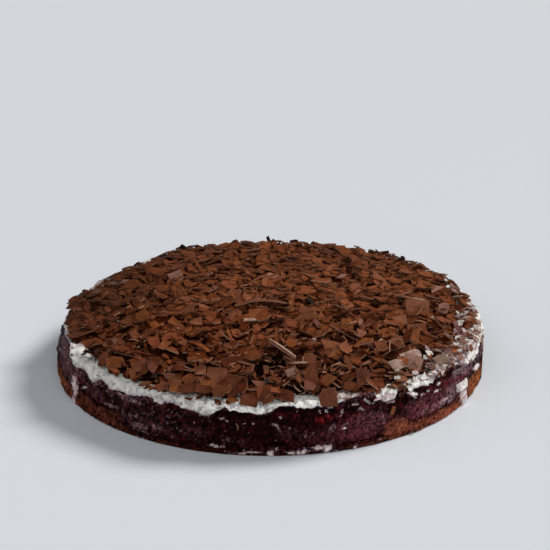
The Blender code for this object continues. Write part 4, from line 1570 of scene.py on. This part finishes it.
# The most striking flakes: bearing, radius, width and length in mm, how far they are turned and
# how steeply they face the front, both in degrees, and their colour.
LARGE_FLAKES = (
    (-13.2, 90, 12, 11, 8, 35, BROWN_DARK), (-9.0, 116, 15, 13, -12, 38, BROWN_RED),
    (-14, 121, 9.5, 8, 5, 38, BROWN_PLAIN), (-11.7, 125, 7, 7, 20, 42, BROWN_DARK),
    (-5.0, 127.5, 10, 7.0, -14, 42, BROWN_RED), (-0.6, 127.5, 7, 8, 25, 45, BROWN_RED),
    (3.9, 125, 11, 7, -15, 42, BROWN_DARK), (11.5, 116, 9, 15, 5, 50, BROWN_PLAIN),
    (13, 100, 8, 9.5, -4, 42, BROWN_PLAIN), (6.8, 108.5, 7, 8.5, 20, 44, (0.33, 0.19, 0.15)),
    (17.8, 108.5, 7, 3, 8, 25, BROWN_PALE), (69.4, 94, 13, 9, 3, 25, BROWN_PLAIN),
    (82.9, 91, 15.5, 11, -4, 28, BROWN_GREY), (69, 84, 7.5, 9, 28, 25, BROWN_GREY),
    (83.6, 106, 7, 8, -10, 30, BROWN_PINK), (38.5, 115, 8, 7.5, 24, 36, (0.48, 0.31, 0.26)),
    (45, 113.5, 13, 8, 22, 30, (0.48, 0.31, 0.26)), (53.8, 123, 9, 9, 30, 25, (0.30, 0.20, 0.155)),
    (43, 119, 12, 9.5, -10, 40, (0.34, 0.18, 0.135)), (24.7, 117.5, 2.3, 13, 3, 52, BROWN_GREY),
    (25.8, 117.5, 2.1, 14, 2, 55, BROWN_RED), (26.9, 117.5, 2.3, 14, 1, 52, BROWN_PLAIN),
    (27.8, 117.5, 1.9, 13, 0, 55, BROWN_GREY), (53.9, 57, 8.5, 9, -6, 32, BROWN_RUST),
    (49.6, 87, 6.5, 3.2, -42, 20, BROWN_PALE), (50.1, 95, 10, 9, 18, 30, BROWN_GREY),
    (78.3, 101, 3.2, 2, 0, 10, BROWN_PALE), (-127.7, 75, 10, 10, 30, 28, BROWN_PINK),
    (-73.4, 77.5, 10, 12, 40, 30, BROWN_RUST), (-16, 34, 12, 3.6, 5, 8, (0.33, 0.20, 0.15)),
    (61.6, 25, 14, 12, 12, 26, BROWN_PLAIN), (-103, 22.5, 9, 11, -8, 28, BROWN_PLAIN),
    (-42.5, 31, 8.5, 8, 5, 32, BROWN_PLAIN), (-71.0, 115.5, 25, 6.5, 40, 6, BROWN_PLAIN),
    (-79, 121, 9, 6, 32, 8, BROWN_RED), (-57.6, 120.5, 12, 6, 24, 14, BROWN_RUST),
    (-46, 121, 9, 8, -10, 30, BROWN_RUST), (-37.2, 118, 11, 9, 15, 32, BROWN_PLAIN),
    (-19.3, 119, 6, 9, 5, 40, BROWN_RED), (-14.0, 119.5, 11, 9.5, -6, 40, BROWN_PLAIN),
    (-10.6, 125.6, 6, 4.5, 10, 36, BROWN_RED), (-15.6, 125.0, 8, 4.0, -8, 30, BROWN_RUST),
    (-20.6, 125.6, 9, 3.4, 6, 30, BROWN_RED), (-19.3, 121.4, 8, 6, 12, 34, BROWN_PLAIN),
    (-25.0, 124.0, 8, 4.6, -10, 30, BROWN_PLAIN), (-12.6, 127.4, 8, 6.5, 8, 46, BROWN_RED),
    (-16.2, 127.2, 9, 6, -10, 44, BROWN_PLAIN), (-20.0, 127.0, 9, 5, 6, 40, BROWN_RED),
    (-23.6, 126.6, 8, 5, -6, 40, BROWN_RUST), (-27.2, 126.2, 8, 4.5, 10, 38, BROWN_PLAIN),
    (26.6, 58.1, 2.6, 1.6, 10, 20, CREAMY), (32.8, 72.1, 2.0, 2.6, 0, 30, CREAMY),
    (31.8, 99.1, 2.8, 1.6, 0, 20, CREAMY), (78.3, 103, 3.0, 2.0, -10, 20, CREAMY),
    (27.4, 104.2, 1.8, 1.8, 30, 30, CREAMY), (34.6, 124.8, 3.6, 2.6, 0, 20, CREAMY),
    (53.6, 115.0, 3.0, 3.0, 20, 30, CREAMY), (49.8, 120.2, 3.0, 2.4, 0, 20, CREAMY),
)


def large_flakes(heap, shards):
    for number, (bearing, radius, wide, long, spin, lean, colour) in enumerate(LARGE_FLAKES):
        own = random.Random(SEED + 50 + number)
        outline = plate_outline(wide * MM, long * MM, spin, own)
        centre = at(bearing, radius * MM, 0.0)[:2]
        under = outline * (1, math.cos(math.radians(lean))) + centre
        slope = (0.0, math.tan(math.radians(lean)))
        plane = heap.propped(under, centre, slope, 0.66)
        drop(heap, shards, centre, outline, plane, own, np.array(colour))


def by_large_flake(centre):
    """Whether it lies where one of the striking flakes shows whole."""
    places = (at(bearing, radius * MM, 0.0)[:2] for bearing, radius, *_ in LARGE_FLAKES)
    return any(np.hypot(*(place - centre)) < 9 * MM for place in places)


def plate_outline(wide, long, spin, draw):
    """A large flake's outline: four uneven sides, and a corner or two chipped off."""
    corners = np.array([(-1, -1), (1, -1), (1, 1), (-1, 1)], float)
    outline = corners * [(draw.uniform(0.72, 1.1), draw.uniform(0.75, 1.1)) for _ in range(4)]
    for _ in range(3):
        turn = draw.choice((0.25, 0.75, 1.25, 1.75)) * math.pi + draw.uniform(-0.6, 0.6)
        outline = cut(outline, np.array((math.cos(turn), math.sin(turn))), draw.uniform(0.8, 1.25))
    return outline * np.array((wide, long)) / 2 @ turned(math.radians(spin))


# Flakes and crumbs stuck to the side: bearing, height, width and height of the flake in mm, how
# far it is turned and how far it leans back, both in degrees, distance from the side, colour.
STUCK = (
    (14.3, 33.6, 11.2, 11, 4, 16, -0.2, BROWN_PLAIN),
    (31.6, 19, 2.4, 5.8, -26, 5, 0.6, BROWN_RUST), (33.6, 31.6, 2.6, 3.0, 12, 14, 0.3, BROWN_DARK),
    (35.4, 29.0, 2.4, 3.2, -14, 10, 0.5, BROWN_WET),
    (33.9, 27.0, 2.0, 2.6, 30, 10, 0.5, BROWN_WET),
    (35.8, 32.4, 1.8, 2.2, 0, 20, 0.2, BROWN_RED),
    (-7.8, 18.8, 0.6, 2.4, 28, 5, 0.4, BROWN_DULL),
    (-7.6, 16.9, 0.6, 2.4, -18, 5, 0.4, BROWN_DULL),
    (38.6, 2.4, 2.2, 2.0, 30, 10, 0.6, BROWN_SHADE),
    (74.6, 27.4, 2.6, 10.5, 0, 4, 0.6, BROWN_GREY),
    (47.4, 30.8, 2.4, 3.4, 20, 12, 0.4, BROWN_DARK),
    (49.3, 29.2, 2.2, 2.6, -20, 12, 0.4, BROWN_RED),
    (50.6, 31.8, 2.6, 3.0, 5, 12, 0.2, BROWN_DARK),
    (53.0, 32.0, 3.0, 2.6, -20, 30, 0.0, BROWN_RED),
    (57.5, 32.5, 4.6, 3.0, 10, 40, -0.4, BROWN_PINK),
    (64.5, 32.5, 5.0, 3.0, 15, 40, -0.4, BROWN_PLAIN),
    (139, 24, 2.4, 4.0, 20, 8, 0.6, BROWN_PLAIN), (208, 30, 5.0, 6.0, -10, 12, 0.5, BROWN_PLAIN),
    (247, 12, 2.0, 3.0, 40, 5, 0.6, BROWN_RUST),
)


def stuck_flakes(shards, draw):
    for bearing, height, wide, high, turn, lean, off, colour in STUCK:
        outline = plate_outline(wide * MM, high * MM, turn, draw)
        radius = side_radius(bearing, height * MM) + off * MM
        place = at(bearing, radius, height * MM)
        frame = upright_frame(place, bearing, lean)
        shards.add(broken(outline, draw), frame, 0.6 * MM, 0.02, draw, np.array(colour))


def curls(heap, shards, count, draw):
    """Long thin curls that arch over the others."""
    for _ in range(count):
        bearing = draw.uniform(-180, 180)
        radius = 116 * MM * math.sqrt(draw.random())
        length = draw.uniform(11, 24) * MM
        width = draw.uniform(1.6, 3.6) * MM
        centre = at(bearing, radius, 0)[:2]
        spin = draw.uniform(0, math.pi)
        if not by_large_flake(centre):
            arched_strip(heap, shards, centre, length, width, spin, draw.uniform(0.05, 0.13), draw)


def arched_strip(heap, shards, centre, length, width, spin, arch, draw, colour=None):
    """One curl: a strip in short stretches that arches up, tapers and twists."""
    outline = strip_outline(length, width, spin, draw)
    plane = heap.rest(outline + centre, centre)
    if colour is not None:
        plane = heap.propped(outline + centre, centre, (0.0, 0.0), 0.97)
    if plane is None or math.hypot(plane[0], plane[1]) > 0.5 or centre[1] > CALM_BACK:
        return
    heap.cover(outline + centre, centre, plane, CURL_THICKNESS, 0.5 * arch * length)
    frame = plane_frame(plane, centre)
    along = np.array((math.cos(spin), math.sin(spin)))
    across = np.array((-along[1], along[0]))
    steps = np.linspace(-0.5, 0.5, 9)
    taper = 1 - 0.35 * np.abs(2 * steps) ** 2
    twist = draw.uniform(-0.5, 0.5)
    first = len(shards.points)
    for s, t in zip(steps, taper):
        lift = arch * length * (1 - (2 * s) ** 2)
        lean = twist * s
        for side, level in ((-1, 0), (1, 0), (1, 1), (-1, 1)):
            flat = along * s * length + across * side * t * width / 2
            height = lift + level * CURL_THICKNESS + side * lean * width / 2
            place = np.array((*flat, height)) @ frame[0].T + frame[1]
            shards.points.append(place.tolist())
    for k in range(len(steps) - 1):
        a, b = first + 4 * k, first + 4 * k + 4
        for i, kind in enumerate((0, 1, 0, 1)):
            j = (i + 1) % 4
            shards.faces.append((a + i, a + j, b + j, b + i))
            shards.kinds.append(kind)
    end = first + 4 * (len(steps) - 1)
    shards.faces.append((first + 3, first + 2, first + 1, first))
    shards.faces.append((end, end + 1, end + 2, end + 3))
    shards.kinds += [1, 1]
    shards.dye(frame[1] + (0, 0, arch * length), 4 * len(steps), draw, colour)


# Curls and edges that catch the light, the palest of them painted as highlights: bearing, radius,
# length and width in mm, turn in degrees, arch as a share of the length, colour.
LONG_CURLS = (
    (-40, 9.5, 30, 2.6, 8, 0.09, BROWN_PLAIN), (20, 8.5, 15, 2.2, -16, 0.03, BROWN_GREY),
    (4.9, 81.7, 29, 2.4, -60, 0.008, (0.24, 0.105, 0.075)),
    (5.3, 81.5, 29, 1.1, -60, 0.010, (0.56, 0.37, 0.25)), (9.8, 101, 8, 1.4, 4, 0.02, BROWN_PALE),
    (92.5, 83, 30, 2.6, -33, 0.05, BROWN_GREY), (89.5, 92, 9, 1.6, -30, 0.02, BROWN_PALE),
    (57, 64.5, 9, 2.0, 80, 0.10, BROWN_PINK),
)


def long_curls(heap, shards, draw):
    for bearing, radius, length, width, spin, arch, colour in LONG_CURLS:
        centre = at(bearing, radius * MM, 0.0)[:2]
        turn = math.radians(spin)
        size = (length * MM, width * MM)
        arched_strip(heap, shards, centre, *size, turn, arch, draw, np.array(colour))


def upright_frame(place, facing, lean):
    """A turn for a shard that stands on edge, its face turned to a bearing and leaning back."""
    turn = math.radians(facing)
    out = np.array((math.sin(turn), -math.cos(turn), 0))
    side = np.array((math.cos(turn), math.sin(turn), 0))
    tip = math.radians(lean)
    up = np.array((0, 0, 1)) * math.cos(tip) - out * math.sin(tip)
    face = out * math.cos(tip) + np.array((0, 0, 1)) * math.sin(tip)
    return np.column_stack([side, up, face]), np.array(place)


# Flakes that stand up from the rim: bearing, radius, width and height in mm, turn in degrees and
# share of their height that is above the others.
SPIKES = (
    (180, 124, 2.6, 8, 22, 0.75, BROWN_SHADE), (179, 122.5, 5, 5, 30, 0.30, BROWN_RED),
    (-151.7, 123, 8, 7, 50, 0.30, BROWN_SHADE), (-166, 123, 5, 5.5, -30, 0.35, BROWN_SHADE),
    (-169, 123.5, 4, 5.5, -50, 0.35, BROWN_DARK), (-135, 123, 6, 5, 45, 0.35, BROWN_SHADE),
    (172, 123, 6, 5, 10, 0.35, BROWN_SHADE), (166, 123.5, 3, 4, 30, 0.35, BROWN_SHADE),
    (153, 123, 4, 4, 45, 0.35, BROWN_SHADE), (142, 123, 9, 4.5, 8, 0.35, BROWN_SHADE),
    (135, 124, 3, 6, -12, 0.45, BROWN_SHADE), (127, 124, 7, 4, -30, 0.30, BROWN_SHADE),
    (-84, 125.5, 3.4, 6, 10, -0.1, PURPLE_GREY),
    (-80, 125.1, 2.0, 4, -30, 0.0, PURPLE_GREY),
)


def spikes(heap, shards, draw):
    for bearing, radius, wide, high, turn, above, colour in SPIKES:
        x, y = at(bearing, radius * MM, 0)[:2]
        outline = plate_outline(wide * MM, high * MM, turn, draw)
        place = (x, y, max(heap.at(x, y), 30 * MM) + (above - 0.5) * high * MM)
        frame = upright_frame(place, 0, 14)
        shards.add(broken(outline, draw), frame, 0.7 * MM, 0.03, draw, np.array(colour))


def uprights(heap, shards, count, draw):
    """Shards wedged on edge between the others."""
    for _ in range(count):
        bearing = draw.uniform(-180, 180)
        radius = 119 * MM * math.sqrt(draw.random())
        x, y = at(bearing, radius, 0)[:2]
        if y > CALM_BACK or by_large_flake((x, y)):
            continue
        size = draw.uniform(3.5, 7) * MM
        ground = heap.at(x, y)
        if ground + 0.75 * size > HIGHEST_TIP:
            continue
        outline = shard_outline(size, draw)
        lift = draw.uniform(0.1, 0.32) * size
        frame = upright_frame((x, y, ground + lift), draw.uniform(-180, 180), draw.uniform(10, 50))
        shards.add(broken(outline, draw), frame, 0.6 * MM, draw.uniform(-0.1, 0.1), draw)


def make_bed():
    """The crumbs under the flakes, a rough layer painted nearly black as the shade in the gaps,
    painted lighter towards the back.
    """
    columns, rows = 360, 56
    bearings = np.arange(columns) * 360 / columns
    edge = bed_edge(bearings)
    edge = edge + 1.5 * MM * rough(at(bearings, CAKE_RADIUS, 0), 4 * MM, 42)
    share = 1 - (np.linspace(0, 1, rows)[None] ** 1.3)
    share[:, -1] = 0.02
    radii = edge[:, None] * share
    heights = cream_height(radii) + 0.2 * MM
    points = at(bearings[:, None], radii, heights)
    lift = BED_LIFT * (1 + rough(points, 6 * MM, 41))
    _, own = grains(points, 2.2 * MM, 43)
    lift = lift + 0.5 * MM * (own - 0.5) + 0.3 * MM * rough(points, 1.2 * MM, 44)
    lift[:, 0] = -0.5 * MM
    lift[:, 1] *= 0.5
    clots = np.maximum(0, cream_relief(at(bearings[:, None], radii, cream_height(radii))))
    tops = heights + np.maximum(lift - 0.3 * MM, clots + 0.15 * MM)
    tops[:, 0] = heights[:, 0] + lift[:, 0]
    tops = at(bearings[:, None], radii, tops)
    under = at(bearings, edge * 0.5, cream_height(edge * 0.5) - 0.3 * MM)
    grid = np.concatenate([under[:, None], tops], 1)
    ends = [(0, 0, cream_height(0.0) - 0.3 * MM), (0, 0, grid[0, -1, 2])]
    data = np.concatenate([grid.reshape(-1, 3), ends])
    looks = [chocolate_look("chocolate_crumb_in_shade")]
    faces = turned_faces(columns, rows + 1)
    piece = add_piece("chocolate_bed", data.tolist(), faces, looks, (), 50)
    own = np.concatenate([own[:, :1], own], 1)
    far = farness(data.T)
    # Painted shade: nearly black, less so towards the back.
    colours = blend(own.ravel(), 0.12 * CHOCOLATE_DARK, 0.5 * CHOCOLATE_DARK)
    colours = np.concatenate([colours, colours[-2:]]) * (1 + 1.6 * far)[:, None]
    tint(piece, colours)


# Piece, flakes dropped, share that stays tilted.
HEAP_LAYERS = (
    ("flakes_low", 1600, 0.24),
    ("flakes_middle", 1600, 0.32),
    ("flakes_top", 1500, 0.26),
)
CURLS = 26
UPRIGHTS = 34
CRUMBS = 1000
CRUMBS_TILTED = 0.3


def crumb_length(draw):
    return draw.uniform(1.0, 2.6) * MM


def make_flakes():
    draw = random.Random(SEED)
    heap = Heap()
    looks = (chocolate_look("chocolate_face"), chocolate_look("chocolate_edge", True))
    layers = []
    for name, count, tilted in HEAP_LAYERS:
        shards = Shards()
        scatter(heap, shards, count, draw, tilted=tilted)
        layers.append((name, shards))
    rim_flakes(heap, shards, draw)
    curls(heap, shards, CURLS, draw)
    uprights(heap, shards, UPRIGHTS, draw)
    coated_flakes(heap, shards, draw)
    crumbs = Shards()
    scatter(heap, crumbs, CRUMBS, draw, crumb_length, CRUMBS_TILTED)
    large_flakes(heap, shards)
    long_curls(heap, shards, draw)
    spikes(heap, shards, draw)
    stuck_flakes(shards, draw)
    layers.append(("flake_crumbs", crumbs))
    for name, shards in layers:
        shards.piece(name, looks, heap, ("chocolate_flakes",) if name == "flakes_low" else ())


# --- Room, light and camera -----------------------------------------------------------------------

CAMERA_DISTANCE = 1.050  # from the underside's centre
CAMERA_ELEVATION = 24.0  # degrees
CAMERA_PITCH = 21.112
CAMERA_YAW = 0.207
FOCAL_PIXELS = 1692.7
PHOTO_WIDTH = 550
SENSOR_MM = 36


def make_camera():
    data = bpy.data.cameras.new("camera")
    data.sensor_width = SENSOR_MM
    data.lens = FOCAL_PIXELS / PHOTO_WIDTH * SENSOR_MM
    data.clip_start = 0.01
    data.clip_end = 50
    camera = bpy.data.objects.new("camera", data)
    climb = math.radians(CAMERA_ELEVATION)
    camera.location = (0, -CAMERA_DISTANCE * math.cos(climb), CAMERA_DISTANCE * math.sin(climb))
    pitch, yaw = math.radians(CAMERA_PITCH), math.radians(CAMERA_YAW)
    ahead = Vector(
        (math.sin(yaw) * math.cos(pitch), math.cos(yaw) * math.cos(pitch), -math.sin(pitch))
    )
    camera.rotation_euler = ahead.to_track_quat("-Z", "Y").to_euler()
    bpy.context.scene.collection.objects.link(camera)
    bpy.context.scene.camera = camera


# Name, direction that it comes from, width in degrees, strength, colour.
LIGHTS = (
    ("window", (0.95, 0.42, 1.0), 22, 2.6, (1.0, 0.98, 0.95)),
    ("front_fill", (0.10, -1.0, 0.7), 60, 1.15, (0.97, 0.985, 1.0)),
    ("left_fill", (-1.0, -0.35, 0.7), 70, 0.55, (0.97, 0.985, 1.0)),
)
ROOM_COLOUR = (0.86, 0.92, 1.0)
ROOM_STRENGTH = 0.10
FLOOR_COLOUR = (0.70, 0.73, 0.77, 1)


def soft_sun(name, towards, width, strength, colour):
    data = bpy.data.lights.new(name, "SUN")
    data.angle = math.radians(width)
    data.energy = strength
    data.color = colour
    lamp = bpy.data.objects.new(name, data)
    lamp.location = Vector(towards)
    lamp.rotation_euler = (-Vector(towards)).to_track_quat("-Z", "Y").to_euler()
    bpy.context.scene.collection.objects.link(lamp)


def make_room():
    bpy.ops.mesh.primitive_plane_add(size=12, location=(0, 2, 0))
    floor = bpy.context.object
    floor.name = "floor"
    look = Look("pale_floor", 0.7, 0.2)
    look.shader.inputs["Base Color"].default_value = FLOOR_COLOUR
    floor.data.materials.append(look.material)
    for light in LIGHTS:
        soft_sun(*light)
    world = bpy.data.worlds.new("room")
    world.use_nodes = True
    background = world.node_tree.nodes["Background"]
    background.inputs["Color"].default_value = (*ROOM_COLOUR, 1)
    background.inputs["Strength"].default_value = ROOM_STRENGTH
    bpy.context.scene.world = world
    bpy.context.scene.view_settings.view_transform = "Standard"


def main():
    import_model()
    make_camera()
    make_room()
    bearings, low, high = layer_edges()
    make_sponge(bearings, low)
    make_filling(bearings, low, high)
    make_cream(bearings, high)
    make_smears()
    make_flecks()
    make_bed()
    make_flakes()


main()
